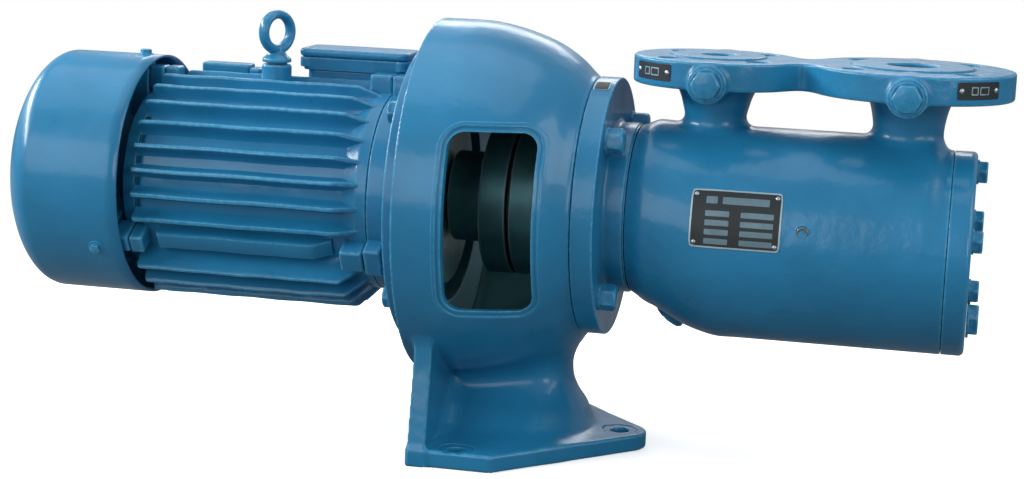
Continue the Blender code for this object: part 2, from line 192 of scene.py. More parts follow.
# Shares of the random patches, of the pale edges (wear and painted highlight), and of the painted shade in
# corners.
PATCH_SHARE, WEAR_AND_HIGHLIGHT_SHARE, CORNER_SHADE_SHARE = 0.35, 0.40, 0.7
GLOSS_RANGE = (0.27, 0.42)


def enamel(name, ripple, grain):
    """Blue gloss paint. Ripple is the depth of the slow waves in metres, grain that of the orange peel."""
    material, main = shader(name, PAINT, 0.34, coat=0.35)
    main.inputs["Specular IOR Level"].default_value = 0.30
    links = material.node_tree.links
    patches = remap(material, noise(material, PATCH_NOISE, 4.0), 0.35, 0.68)
    colour = mix_colour(material, multiply(material, patches, PATCH_SHARE), PAINT, PAINT_DEEP)
    edge = bend(material)
    broken = remap(material, noise(material, CHIP_NOISE, 3.0), 0.38, 0.62)
    # Outer edges turn pale: paint wear, and a painted highlight along the edges as well.
    wear_and_highlight = multiply(material, remap(material, edge, 0.25, 0.9), remap(material, broken, 0.0, 1.0, 0.25, 1.0))
    colour = mix_colour(material, multiply(material, wear_and_highlight, WEAR_AND_HIGHLIGHT_SHARE), colour, PAINT_PALE)
    # Corners darken towards PAINT_DEEP: painted shade.
    corner_shade = multiply(material, remap(material, edge, -0.15, -0.8), CORNER_SHADE_SHARE)
    colour = mix_colour(material, corner_shade, colour, PAINT_DEEP)
    links.new(colour, main.inputs["Base Color"])
    rough = remap(material, noise(material, GLOSS_NOISE, 5.0), 0.3, 0.7, *GLOSS_RANGE)
    links.new(rough, main.inputs["Roughness"])
    waves, peel = noise(material, RIPPLE_NOISE, 2.0), noise(material, PEEL_NOISE, 2.0)
    bumps(material, main, [(waves, 0.5, ripple), (peel, 0.5, grain)])
    return material


paint_smooth = enamel("enamel_smooth", 0.0012, 0.00010)
paint_cast = enamel("enamel_cast", 0.0020, 0.00022)
print("enamel colours:", PAINT, "wear_and_highlight", PAINT_PALE)

# %% [markdown]
# The rest of the machine needs only a few finishes: ground steel on shafts and rivets, dark oiled
# iron on the coupling and inside the bell, a paler iron where the motor's shield was cut, its
# paleness partly painted light from the window, label plates in black and grey, rubber, and the
# plastic of the fan. They could be separate node trees.
# Three functions make them all, because within a kind only the colour and the roughness differ.

# %% Bare metals, rubber and plastic
RUBBED_IRON = (0.30, 0.38, 0.40)


def dark_iron(name, colour, rough, metal=0.55):
    """Machined iron under old oil. Its fine rings are a noise that is stretched along y and z."""
    material, main = shader(name, colour, rough, metal)
    stain = remap(material, noise(material, 22.0, 5.0), 0.35, 0.7)
    pale = tuple(min(1.0, 2.4 * c + 0.01) for c in colour)
    shade = mix_colour(material, multiply(material, stain, 0.6), colour, pale)
    rubbed = multiply(material, remap(material, bend(material), 0.3, 1.0), 0.5)
    shade = mix_colour(material, rubbed, shade, RUBBED_IRON)
    material.node_tree.links.new(shade, main.inputs["Base Color"])
    rings = noise(material, 900.0, 2.0, (1.0, 0.02, 0.02))
    bumps(material, main, [(rings, 0.3, 0.0001), (noise(material, 300.0, 3.0), 0.3, 0.0002)])
    return material


def bright_metal(name, colour, rough):
    """Ground metal, whose roughness a noise varies from the value given up to 0.18 more."""
    material, main = shader(name, colour, rough, 1.0)
    dull = remap(material, noise(material, 150.0, 4.0), 0.3, 0.7, rough, rough + 0.18)
    material.node_tree.links.new(dull, main.inputs["Roughness"])
    bumps(material, main, [(noise(material, 500.0, 2.0), 0.25, 0.00008)])
    return material


def fine_grained(name, colour, rough):
    """One colour under a fine grain: rubber, plastic, label paint, or freshly cut iron made paler where it
    also carries painted light.
    """
    material, main = shader(name, colour, rough)
    bumps(material, main, [(noise(material, 700.0, 3.0), 0.3, 0.00012)])
    return material


iron = dark_iron("oiled_iron", (0.026, 0.088, 0.100), 0.42)
bell_inside = dark_iron("bell_inside", (0.045, 0.145, 0.160), 0.55, 0.1)
dark_steel = dark_iron("dark_steel", (0.016, 0.035, 0.042), 0.35, 0.8)
# The shield's boss face: oiled iron, with its colour raised as painted light from the window.
oily_face_painted_light = dark_iron("oily_face_painted_light", (0.22, 0.38, 0.36), 0.36, 0.1)
# Cut iron, made paler still: painted light for the light on the bell's rear wall.
machined_and_painted_light = fine_grained("machined_iron_and_painted_light", (0.50, 0.74, 0.78), 0.4)
steel = bright_metal("ground_steel", (0.42, 0.47, 0.50), 0.28)
silver = bright_metal("label_silver", (0.38, 0.50, 0.54), 0.38)
dull_silver = bright_metal("label_grey", (0.16, 0.24, 0.28), 0.45)
black_plate = fine_grained("label_black", (0.006, 0.012, 0.016), 0.5)
rubber = fine_grained("element_rubber", (0.010, 0.012, 0.012), 0.75)
fan_plastic = fine_grained("fan_plastic", (0.02, 0.11, 0.22), 0.5)
FINISHES = {
    "blue_paint": paint_cast, "dark_casting": iron, "rubber": rubber,
    "bare_steel": steel, "plate": black_plate, "plastic": fan_plastic,
}
for part in frame["record"]["subparts"]:
    packed = frame["nodes"][part["node"]]
    packed.data.materials.clear()
    packed.data.materials.append(FINISHES[part["material_slot"]])
print(len(FINISHES), "finishes on", len(frame["nodes"]), "packed nodes")

# %% [markdown]
# A surface here is an array of points in rows and columns. Neighbours in the array are neighbours
# on the surface, so the faces follow from the array's shape alone. Blender's own primitives would
# be a start too, but they have to be moved vertex by vertex afterwards, and in a grid a formula
# gives every point its place at once.

# %% Grids
def grid_faces(rows, columns, close_rows=False, close_columns=True):
    """Four-sided faces between neighbouring rows and columns of a grid, as an array of vertex numbers."""
    r = np.arange(rows if close_rows else rows - 1)[:, None]
    c = np.arange(columns if close_columns else columns - 1)[None, :]
    below, beside = (r + 1) % rows * columns, (c + 1) % columns
    corners = [r * columns + c, r * columns + beside, below + beside, below + c]
    return np.stack(corners, -1).reshape(-1, 4).tolist()


def capped(rings):
    """A stack of rings, first to last, closed with a flat face at either end."""
    rings = np.asarray(rings, float)
    rows, columns = rings.shape[:2]
    ends = [list(range(columns)), list(range((rows - 1) * columns, rows * columns))]
    return rings.reshape(-1, 3), grid_faces(rows, columns) + ends


print("a closed tube of 3 rings and 8 columns has", len(grid_faces(3, 8)), "side faces")

# %% [markdown]
# Covers, shields, flanges and discs were all turned on a lathe. Blender's Screw modifier can do
# that as well. Here a list of (x, radius) pairs goes round the shaft in a few lines, after every
# corner of the list has become a small arc, because no edge on a casting or a turned part is truly
# sharp.

# %% Turned profiles with soft corners
HOLD = 1.2


def held(profile, loop=True):
    """Adds points at HOLD from both ends of every long straight, so that an edge's mark stays at the edge."""
    profile = np.asarray(profile, float)
    out = []
    for here, ahead in zip(profile, np.roll(profile, -1, 0)):
        length = np.linalg.norm(ahead - here)
        out.append(here)
        if length > 3 * HOLD:
            out += [here + (ahead - here) * HOLD / length, ahead + (here - ahead) * HOLD / length]
    if not loop and np.linalg.norm(profile[0] - profile[-1]) > 3 * HOLD:
        out = out[:-2]
    return np.array(out)


def turned(profile, around=128, centre_z=0.0, loop=True, hold=True):
    """Each (x, radius) of the profile goes round the shaft: y = -radius cos t, z = centre + radius sin t."""
    x, radius = (held(profile, loop) if hold else np.asarray(profile, float)).T
    t = np.linspace(0.0, 2 * np.pi, around, endpoint=False)
    y, z = -radius[:, None] * np.cos(t), centre_z + radius[:, None] * np.sin(t)
    rings = np.stack([x[:, None] + 0 * t, y, z], -1)
    if not loop:
        return capped(rings)
    return rings.reshape(-1, 3), grid_faces(len(x), around, close_rows=True)


def soften(corners, radii, steps=4, loop=True):
    """Turns each corner into an arc that touches its sides, radius / tan(half the angle) from it."""
    corners = np.asarray(corners, float)
    radii = np.broadcast_to(radii, len(corners))
    out = []
    for i, radius in enumerate(radii):
        here, back, ahead = corners[i], corners[i - 1], corners[(i + 1) % len(corners)]
        ends = not loop and i in (0, len(corners) - 1)
        if radius <= 0 or ends:
            out.append(here[None])
            continue
        u, v = back - here, ahead - here
        reach = min(np.linalg.norm(u), np.linalg.norm(v)) * 0.49
        u, v = u / np.linalg.norm(u), v / np.linalg.norm(v)
        half = np.arccos(np.clip(u @ v, -1, 1)) / 2
        if half > 1.56:
            out.append(here[None])
            continue
        touch = min(radius / np.tan(half), reach)
        radius = touch * np.tan(half)
        middle = here + (u + v) / np.linalg.norm(u + v) * radius / np.sin(half)
        first, last = here + u * touch - middle, here + v * touch - middle
        turn, s = np.pi - 2 * half, np.linspace(0, 1, steps + 1)[:, None]
        out.append(middle + (np.sin((1 - s) * turn) * first + np.sin(s * turn) * last) / np.sin(turn))
    return np.concatenate(out)

# %% [markdown]
# Pads, lugs, lids and washers are flat outlines with some height. Extruding a face and bevelling
# its edges gives such a shape by hand. A quarter circle that shrinks the outline towards either end
# rounds the edges in the same step, and the number of rings is known beforehand.

# %% Outlines and plates
def circle(radius, steps=48, centre=(0.0, 0.0), first=0.0, last=2 * np.pi):
    """Points at the centre + radius (cos t, sin t), with t from first to last."""
    full = last - first > 6.28
    t = np.linspace(first, last, steps, endpoint=not full)
    return np.stack([centre[0] + radius * np.cos(t), centre[1] + radius * np.sin(t)], -1)


def box_outline(half_u, half_v, radius, centre=(0.0, 0.0), steps=6):
    """A rectangle with round corners, anticlockwise from its lower right. Its sizes are halves."""
    corners = np.array([(half_u, -half_v), (half_u, half_v), (-half_u, half_v), (-half_u, -half_v)]) + centre
    return soften(corners, radius, steps)


def plate(outline, low, high, edge=1.5, steps=4, both=True):
    """Pulls an outline from low to high. At the edges it shrinks along its normals by a quarter circle.

    Behind each edge comes one more ring, HOLD away on the side and on the flat, which keeps its mark narrow.
    """
    ahead = np.roll(outline, -1, 0) - np.roll(outline, 1, 0)
    normal = np.stack([ahead[:, 1], -ahead[:, 0]], -1) / np.linalg.norm(ahead, axis=1)[:, None]
    area = (outline[:, 0] * np.roll(outline[:, 1], -1) - np.roll(outline[:, 0], -1) * outline[:, 1]).sum()
    normal *= np.sign(area)
    q = np.linspace(0, np.pi / 2, steps + 1)
    rise, shrink = edge * (1 - np.cos(q)), edge * (1 - np.sin(q))
    lower = [(low + h, s) for h, s in zip(rise, shrink)] if both else [(low, 0.0)]
    upper = [(high - h, s) for h, s in zip(rise[::-1], shrink[::-1])]
    if high - low > 2 * edge + 3 * HOLD:
        lower, upper = lower + [(low + edge + HOLD, 0.0)], [(high - edge - HOLD, 0.0)] + upper
    rings = [np.column_stack([outline - normal * s, np.full(len(outline), h)]) for h, s in lower + upper]
    middle = outline.mean(0)
    size = np.linalg.norm(outline - middle, axis=1).min() - edge
    if size > 3 * HOLD:
        inward = (1 - HOLD / size, 1 - HOLD / size, 1.0)
        origin = np.append(middle, 0.0)
        rings = [origin + (rings[0] - origin) * inward] + rings + [origin + (rings[-1] - origin) * inward]
    return capped(rings)

# %% [markdown]
# A machine repeats its small parts in many places. Each one could be a linked copy of an object.
# Here it is made once, standing upright at zero, and its points are turned to where it looks and
# moved there, so that all the copies on one cover become a single piece whose object stays at the
# origin.

# %% Placing shapes
def together(*shapes):
    """Joins (points, faces) shapes in one list of points and one of faces."""
    points, faces, count = [], [], 0
    for shape_points, shape_faces in shapes:
        points.append(np.asarray(shape_points, float))
        faces.extend([[i + count for i in face] for face in shape_faces])
        count += len(shape_points)
    return np.concatenate(points), faces


def aimed(shape, origin, outward, twist=0.0):
    """Turns a shape so that its own z points outward, and moves it to the origin given."""
    points, faces = shape
    w = np.asarray(outward, float) / np.linalg.norm(outward)
    helper = np.array([0.0, 0.0, 1.0]) if abs(w[2]) < 0.9 else np.array([1.0, 0.0, 0.0])
    u = np.cross(helper, w)
    u /= np.linalg.norm(u)
    v = np.cross(w, u)
    u, v = u * np.cos(twist) + v * np.sin(twist), v * np.cos(twist) - u * np.sin(twist)
    return np.asarray(points, float) @ np.stack([u, v, w]) + origin, faces


def polar(angle, radius, x=0.0):
    """The point at an angle in degrees, counted from the near side up towards the top."""
    t = np.radians(angle)
    return np.array([x, -radius * np.cos(t), radius * np.sin(t)])

# %% [markdown]
# Every new piece goes through one door. It writes the arrays into a mesh, turns the faces outwards,
# shades them smooth with creases where the surface really breaks, marks how it bends, parents the
# piece to the body it rides on, and hides the imported nodes it stands for. All this could be
# repeated for each piece, but in one function it can't be forgotten.

# %% Making a piece
MARK_RADIUS = 0.0016


def mark_bends(mesh):
    """At each vertex the mean over its edges of (difference of normals . edge) / length squared, scaled."""
    count = len(mesh.vertices)
    place, normal = np.empty(count * 3), np.empty(count * 3)
    mesh.vertices.foreach_get("co", place)
    mesh.vertex_normals.foreach_get("vector", normal)
    ends = np.empty(len(mesh.edges) * 2, np.int32)
    mesh.edges.foreach_get("vertices", ends)
    place, normal = place.reshape(-1, 3), normal.reshape(-1, 3)
    a, b = ends.reshape(-1, 2).T
    along = place[b] - place[a]
    amount = ((normal[b] - normal[a]) * along).sum(1) / np.maximum((along * along).sum(1), 1e-10)
    total = np.bincount(a, amount, count) + np.bincount(b, amount, count)
    edges = np.bincount(a, minlength=count) + np.bincount(b, minlength=count)
    value = np.clip(total / np.maximum(edges, 1) * MARK_RADIUS * 2, -1, 1)
    mesh.attributes.new(EDGE_MARK, "FLOAT", "POINT").data.foreach_set("value", value.astype(np.float32))


def add(name, shape, material, nodes=(), body="unit", crease=35.0, normals=None):
    """Makes one finished piece. Given normals are kept as they are, otherwise creases come from the angle."""
    points, faces = shape
    mesh = bpy.data.meshes.new(name)
    mesh.from_pydata(metres(points).tolist(), [], faces)
    mesh.shade_smooth()
    if normals is None:
        work = bmesh.new()
        work.from_mesh(mesh)
        bmesh.ops.recalc_face_normals(work, faces=work.faces)
        work.to_mesh(mesh)
        work.free()
        mesh.set_sharp_from_angle(angle=np.radians(crease))
    else:
        mesh.normals_split_custom_set_from_vertices(normals.tolist())
    mark_bends(mesh)
    mesh.materials.append(material)
    piece = bpy.data.objects.new(name, mesh)
    bpy.context.scene.collection.objects.link(piece)
    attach(piece, body)
    if nodes:
        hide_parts(*nodes)
    print(name, len(mesh.vertices), "points")
    return piece

# %% [markdown]
# A hexagon head is one formula. Its radius at an angle is half the width across flats divided by
# the cosine of the angle to the nearest flat, and a cone cuts that down near the top. A cylinder
# with six sides and a bevel is quicker to make, but its chamfer has straight edges, and on a real
# bolt they are arcs.

# %% Bolts, screws and washers
def hex_head(flats, height, around=48):
    """Radius = the smaller of (flats / 2) / cos(angle to the nearest flat) and the cone at that height."""
    t = np.linspace(0, 2 * np.pi, around, endpoint=False)
    flat = flats / 2 / np.cos((t + np.pi / 6) % (np.pi / 3) - np.pi / 6)
    heights = height * np.array([0.0, 0.06, 0.72, 0.8, 0.87, 0.93, 0.97, 1.0])
    cone = flats / 2 * np.array([1.1, 2.0, 2.0, 1.13, 1.07, 1.0, 0.95, 0.89])
    radius = np.minimum(flat, cone[:, None])
    return capped(np.stack([radius * np.cos(t), radius * np.sin(t), heights[:, None] + 0 * t], -1))


def disc(radius, low, high, edge=0.4, around=40):
    """A washer or a stud: a round plate with soft edges."""
    return plate(circle(radius, around), low, high, edge, 2)


def bolt(flats, height, washer=1.6):
    """A hexagon head on a washer. The seat is at zero height."""
    head = hex_head(flats, height - washer)
    head = (head[0] + (0.0, 0.0, washer), head[1])
    return together(disc(flats * 0.58, -0.6, washer, 0.3), head)


def dome(radius, height, around=20):
    """A rivet head: rings of a flattened half sphere."""
    q = np.linspace(0, np.pi / 2 * 0.93, 5)[:, None]
    t = np.linspace(0, 2 * np.pi, around, endpoint=False)
    flat = radius * np.cos(q)
    return capped(np.stack([flat * np.cos(t), flat * np.sin(t), height * np.sin(q) + 0 * t], -1))


print("a bolt head has", len(hex_head(18.0, 7.5)[0]), "points")

# %% [markdown]
# The fan cover is drawn from one sheet of steel: a straight wall that runs into a dome. Air comes
# in through rings of slots in the dome's middle. Booleans could cut them, with long thin triangles
# round each one. Here one grid of profile points and angles gives the sheet, the slots are the
# faces left out, and Solidify gives the sheet its thickness.

# %% The fan cover
COVER_SHEET = 2.0
COVER_R = 103.5
WALL_END_X = -328.0
SLOT_INNER, SLOT_OUTER, SLOT_PITCH = 19.0, 48.0, 5.0
cover_end, cover_rim = span("fan_cover", 0)


def cover_profile():
    """The straight wall, then a quarter ellipse: x = wall end + reach sin t, radius = R cos t."""
    wall = np.linspace(cover_rim, WALL_END_X, 8)[:-1]
    t = np.linspace(0, np.pi / 2, 72)
    t = t[np.cos(t) > 0.09]
    dome_part = np.column_stack([WALL_END_X + (cover_end - WALL_END_X) * np.sin(t), COVER_R * np.cos(t)])
    return np.concatenate([np.column_stack([wall, np.full(len(wall), COVER_R)]), dome_part])


def cover_shape(around=192, slots=12, bridge=4):
    """The turned sheet. A face is left out where its ring and its angle both fall in a slot."""
    profile = cover_profile()
    points, faces = turned(profile, around, loop=False, hold=False)
    faces = np.array(faces[:-2])
    row, column = np.divmod(np.arange(len(faces)), around)
    radius, x = profile[row, 1], profile[row, 0]
    ring = (radius - SLOT_INNER) // SLOT_PITCH
    slot_ring = (radius > SLOT_INNER) & (radius < SLOT_OUTER) & (x < WALL_END_X) & (ring % 2 == 0)
    slot_angle = column % (around // slots) >= bridge
    last = (len(profile) - 1) * around
    kept = faces[~(slot_ring & slot_angle)].tolist() + [list(range(last, last + around))]
    return points, kept


cover = add("fan_cover_sheet", cover_shape(), paint_smooth, ("fan_cover",))
sheet = cover.modifiers.new("Sheet", "SOLIDIFY")
sheet.thickness = COVER_SHEET / 1000
sheet.offset = -1.0
EARS = (-30.0, 90.0, 210.0)
COVER_SCREW_X = {-30.0: -271.0, 90.0: -264.0, 210.0: -271.0}
COVER_SCREW, COVER_WASHER_R = (8.4, 4.4, 0.6), 6.3
cover_screws = []
for angle in EARS:
    seat_at, out = polar(angle, COVER_R, COVER_SCREW_X[angle]), polar(angle, 1.0)
    cover_screws.append(aimed(bolt(*COVER_SCREW), seat_at, out, 0.3))
    cover_screws.append(aimed(disc(COVER_WASHER_R, -0.5, 0.7, 0.3), seat_at, out))
add("fan_cover_screws", together(*cover_screws), paint_smooth)

# %% [markdown]
# The motor's frame is a tube with cooling fins. A fin is a thin profile with a round tip, carried
# along the shaft. At the fan end it starts with a small round corner, and at the drive end its tip
# slopes down to the frame. Two of the three ear lines have a flat pad in place of a fin, and the
# fins underneath are taller than the others. An Array modifier could repeat one fin, but then none
# of them could differ.

# %% The finned frame
FRAME_R = 80.0
FRAME_X = (-243.0, -38.8)
RING_R = 84.0
FIN_TIP, FIN_HIGH_TIP = 92.5, 102.0
FIN_HALF_ROOT, FIN_HALF_TIP = 5.8, 2.0
FIN_START, SLOPE_START, SLOPE_END = -241.0, -64.0, -45.0
FINS_BETWEEN_EARS = 8
UNDERSIDE = (223.0, 317.0)
PAST_TOP_EAR, STARTS_LATER_BY = (85.0, 120.0), 8.0
CORE_END_R, CORE_BORE_R = 73.0, 72.5
EAR_HIGH = {-30.0: 98.0, 90.0: 95.0, 210.0: 98.0}
EYE_X = -145.0


def rib_shape(angle, stations, half_root, half_tip, wave=0.25):
    """A bar along the shaft. Stations are (x, tip radius); the section has flared sides and a rounded top."""
    x, tip = np.asarray(stations, float).T
    up = np.array([0.0, 0.12, 0.30, 0.55, 0.86, 0.93, 0.98, 1.0])
    wide = np.array([1.0, 0.62, 0.30, 0.10, 0.0, 0.0, 0.0, 0.0]) * (half_root - half_tip)
    wide = wide + half_tip * np.array([1, 1, 1, 1, 1, 0.92, 0.62, 0.0])
    up = np.concatenate([up, up[-2::-1]])
    wide = np.concatenate([-wide, wide[-2::-1]])
    base = FRAME_R - 1.5
    tip = tip + wave * np.sin(x * 0.13 + angle)
    radius = base + (tip[:, None] - base) * up
    sway = wide[None, :] + wave * np.sin(x * 0.061 + 2 * angle)[:, None]
    t = np.radians(angle)
    out, side = np.array([-np.cos(t), np.sin(t)]), np.array([-np.sin(t), -np.cos(t)])
    flat = radius[..., None] * out + sway[..., None] * side
    rings = np.concatenate([np.broadcast_to(x[:, None, None], (*radius.shape, 1)), flat], -1)
    return capped(rings)


def slope(x0, x1, x2, high, low, steps=26):
    """Stations of a fin: a rounded start at x0, level to x1, then straight down to x2."""
    start = [(x0, high - 3.2), (x0 + 0.7, high - 1.5), (x0 + 2.0, high - 0.4), (x0 + 4.0, high)]
    level = [(x, high) for x in np.linspace(x0 + 10, x1 - 3, steps)]
    drop = [(x1, high - 0.4), (x1 + 2, high - 1.4)]
    rate = (low - high + 1.4) / (x2 - x1 - 2)
    return start + level + drop + [(x, high - 1.4 + rate * (x - x1 - 2)) for x in np.linspace(x1 + 5, x2, 5)]


def lug(angle, x0, x1, half, low=74.0, high=99.0, edge=2.2):
    """A boxy lug on the motor's rim: a rectangle with soft edges, pulled along the shaft."""
    outline = box_outline(half, (high - low) / 2, 2.6, (0.0, (low + high) / 2))
    points, faces = plate(outline, x0, x1, edge, 4)
    t = np.radians(angle)
    out, side = np.array([0.0, -np.cos(t), np.sin(t)]), np.array([0.0, -np.sin(t), -np.cos(t)])
    return points[:, :1] * side + points[:, 1:2] * out + points[:, 2:] * (1.0, 0.0, 0.0), faces


def frame_core():
    """The tube, turned in below the fins at the fan end, with a thicker ring at the drive end."""
    outer = [(FRAME_X[0], CORE_END_R), (-241.0, CORE_END_R), (-236.0, FRAME_R - 1), (-60.0, FRAME_R - 1)]
    outer += [(-48.0, RING_R), (FRAME_X[1], RING_R)]
    inner = [(FRAME_X[1], CORE_BORE_R), (FRAME_X[0], CORE_BORE_R)]
    return turned(soften(outer + inner, [0.5, 2, 3, 6, 4, 0.8, 0, 0]), 180)


parts = [frame_core()]
for third in EARS:
    for step in range(1, FINS_BETWEEN_EARS + 1):
        angle = third + 120 / (FINS_BETWEEN_EARS + 1) * step
        tip = FIN_HIGH_TIP if UNDERSIDE[0] < angle % 360 < UNDERSIDE[1] else FIN_TIP
        start = FIN_START + (STARTS_LATER_BY if PAST_TOP_EAR[0] < angle % 360 < PAST_TOP_EAR[1] else 0.0)
        stations = slope(start, SLOPE_START, SLOPE_END, tip, RING_R)
        parts.append(rib_shape(angle, stations, FIN_HALF_ROOT, FIN_HALF_TIP))
    if third != 90.0:
        pad = slope(-222.0, -84.0, -70.0, 90.5, 82.0, 14)
        parts.append(rib_shape(third, pad, 9.0, 7.4))
    parts.append(lug(third, -243.0, -231.0, 8.0, high=EAR_HIGH[third]))
    parts.append(lug(third, -59.0, -39.4, 10.0, high=98.5))
boss = turned([(74.0, 12.7), (100.0, 12.7), (101.5, 11.6)], 40, loop=False)
parts.append((boss[0][:, [1, 2, 0]] + (EYE_X, 0.0, 0.0), boss[1]))
seat = plate(box_outline(41.5, 17.0, 6.0, (-83.5, 39.0)), 60.0, span("terminal_box", 2)[0] - 0.3, 0.8)
parts.append(seat)
for centre, half_x, half_y, top in ((-210.0, 22.0, 9.0, 94.3), (-183.0, 5.0, 9.0, 91.3)):
    parts.append(plate(box_outline(half_x, half_y, 2.5, (centre, 59.0)), 48.0, top, 1.6))
add("finned_frame", together(*parts), paint_cast, ("motor_frame",))

# %% [markdown]
# End shields close the motor. The rear one sits inside the fan cover and only its rim and lugs
# show. The front one widens into the flange that bolts to the bell. A thin dark joint shows where
# it meets the frame, and its machined boss shows through the bell's window, grey under a film of
# oil, with its colour raised as painted light for the light through the window. Both are turned
# profiles. The boss gets a thin disc of its own in front, which is simpler than a second material
# on part of one mesh.

# %% The end shields and their bolts
SEAM_X = -38.4
FLANGE_R = (span("de_shield", 2)[1] - span("de_shield", 2)[0]) / 2
FLANGE_X = (-13.2, span("bell_housing", 0)[0] - 0.3)
BOSS_FACE_R, BOSS_FACE_X = 76.0, span("de_shield", 0)[1]
BOSS_BACK_X = BOSS_FACE_X - 0.4
SHAFT_BORE_R, REAR_RIM_R, SHIELD_SPIGOT_R, STEP_R = 14.4, 73.5, 71.5, RING_R - 0.3
rear_profile = [(-276.0, SHAFT_BORE_R), (-276.0, 34.0), (-264.0, 38.0), (-258.0, 66.0), (-254.0, REAR_RIM_R)]
rear_profile += [(-243.6, REAR_RIM_R), (-243.6, SHIELD_SPIGOT_R)]
rear_profile += [(-236.0, SHIELD_SPIGOT_R), (-236.0, SHAFT_BORE_R)]
rear = [turned(soften(rear_profile, [0, 3, 3, 3, 2, 0.8, 0.5, 0.5, 0]), 120)]
front_profile = [(-46.0, SHAFT_BORE_R), (-46.0, SHIELD_SPIGOT_R), (SEAM_X, SHIELD_SPIGOT_R), (SEAM_X, STEP_R)]
front_profile += [(FLANGE_X[0], STEP_R), (FLANGE_X[0], FLANGE_R), (FLANGE_X[1], FLANGE_R)]
front_profile += [(FLANGE_X[1], 89.3), (4.5, 89.3)]
front_profile += [(4.5, BOSS_FACE_R), (BOSS_BACK_X, BOSS_FACE_R), (BOSS_BACK_X, SHAFT_BORE_R)]
front = [turned(soften(front_profile, [0, 0.5, 0, 1.0, 5.0, 1.4, 0.7, 0, 1, 1, 0.6, 0]), 180)]
for angle in EARS:
    rear.append(lug(angle, -258.0, -243.7, 8.0, high=EAR_HIGH[angle]))
    cover_seat = plate(box_outline(8.0, 9.0, 2.0), 50.0, COVER_R - COVER_SHEET - 0.8, 1.0)
    rear.append(aimed(cover_seat, (-267.0, 0.0, 0.0), polar(angle, 1.0)))
    front.append(lug(angle, SEAM_X, -23.5, 13.0, high=98.5))
add("rear_shield", together(*rear), paint_cast, ("nde_shield",))
add("front_shield", together(*front), paint_cast, ("de_shield",))
# This face's pale colour is oiled iron plus painted light.
face = [(BOSS_BACK_X, SHAFT_BORE_R), (BOSS_BACK_X, BOSS_FACE_R - 0.6)]
face += [(BOSS_FACE_X, BOSS_FACE_R - 1.0), (BOSS_FACE_X, SHAFT_BORE_R)]
add("shield_face", turned(face, 180), oily_face_painted_light)
FLANGE_BOLT_CIRCLE = 107.5
flange_bolts = []
for n in range(4):
    bolt_at = polar(45 + 90 * n, FLANGE_BOLT_CIRCLE, FLANGE_X[0])
    flange_bolts.append(aimed(bolt(17.0, 9.5), bolt_at, (-1.0, 0.0, 0.0), 0.5))
add("motor_flange_bolts", together(*flange_bolts), paint_smooth)

# %% [markdown]
# The lifting eye is a ring on a collar, forged in one. Blender's torus would do for the ring, but a
# forged one is thicker at its foot and oval in section. So an ellipse is carried round a circle and
# grows near the bottom, and the whole ring is turned to the angle it stopped at when it was screwed
# in.

# %% The lifting eye
EYE = np.array([EYE_X, 0.0, 129.0])
EYE_ALONG = np.array([0.486, 0.874, 0.0])
EYE_RING, EYE_THIN, EYE_WIDE = 15.0, 3.8, 5.2


def ring_shape(around=72, section=24):
    """Point = centre + (R + a cos s) (cos t along + sin t up) + b sin s across. a and b grow below."""
    t = np.linspace(0, 2 * np.pi, around, endpoint=False)[:, None]
    s = np.linspace(0, 2 * np.pi, section, endpoint=False)[None, :]
    across = np.cross(EYE_ALONG, (0.0, 0.0, 1.0))
    swell = 1 + 0.14 * np.clip(-np.sin(t), 0, 1) ** 4
    flat = EYE_RING + swell * EYE_THIN * np.cos(s)
    along = (flat * np.cos(t))[..., None] * EYE_ALONG
    rise = (flat * np.sin(t))[..., None] * (0.0, 0.0, 1.0)
    points = EYE + along + rise + (swell * EYE_WIDE * np.sin(s))[..., None] * across
    return points.reshape(-1, 3), grid_faces(around, section, close_rows=True)


collar = [(102.0, 0.5), (102.0, 9.0), (103.4, 9.0), (103.4, 12.4), (106.4, 12.4)]
collar += [(109.5, 8.6), (113.0, 6.4), (117.0, 5.6), (117.0, 0.5)]
collar = soften(collar, [0, 0.3, 0.3, 1.0, 2.2, 3.0, 3.0, 2.0, 0], loop=False)
collar_points, collar_faces = turned(collar, 48, loop=False)
collar_shape = (collar_points[:, [1, 2, 0]] + (EYE[0], 0.0, 0.0), collar_faces)
add("lifting_eye", together(ring_shape(), collar_shape), paint_smooth, ("eye_bolt",))

# %% [markdown]
# The terminal box is a shallow casting under a flat lid with a round rim. A screw holds the lid at
# each corner, over a small boss in the casting. The cable entry is on the far side. Two bevelled
# cubes would look much the same from far off. Two plates with round corners are as short to write,
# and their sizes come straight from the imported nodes.

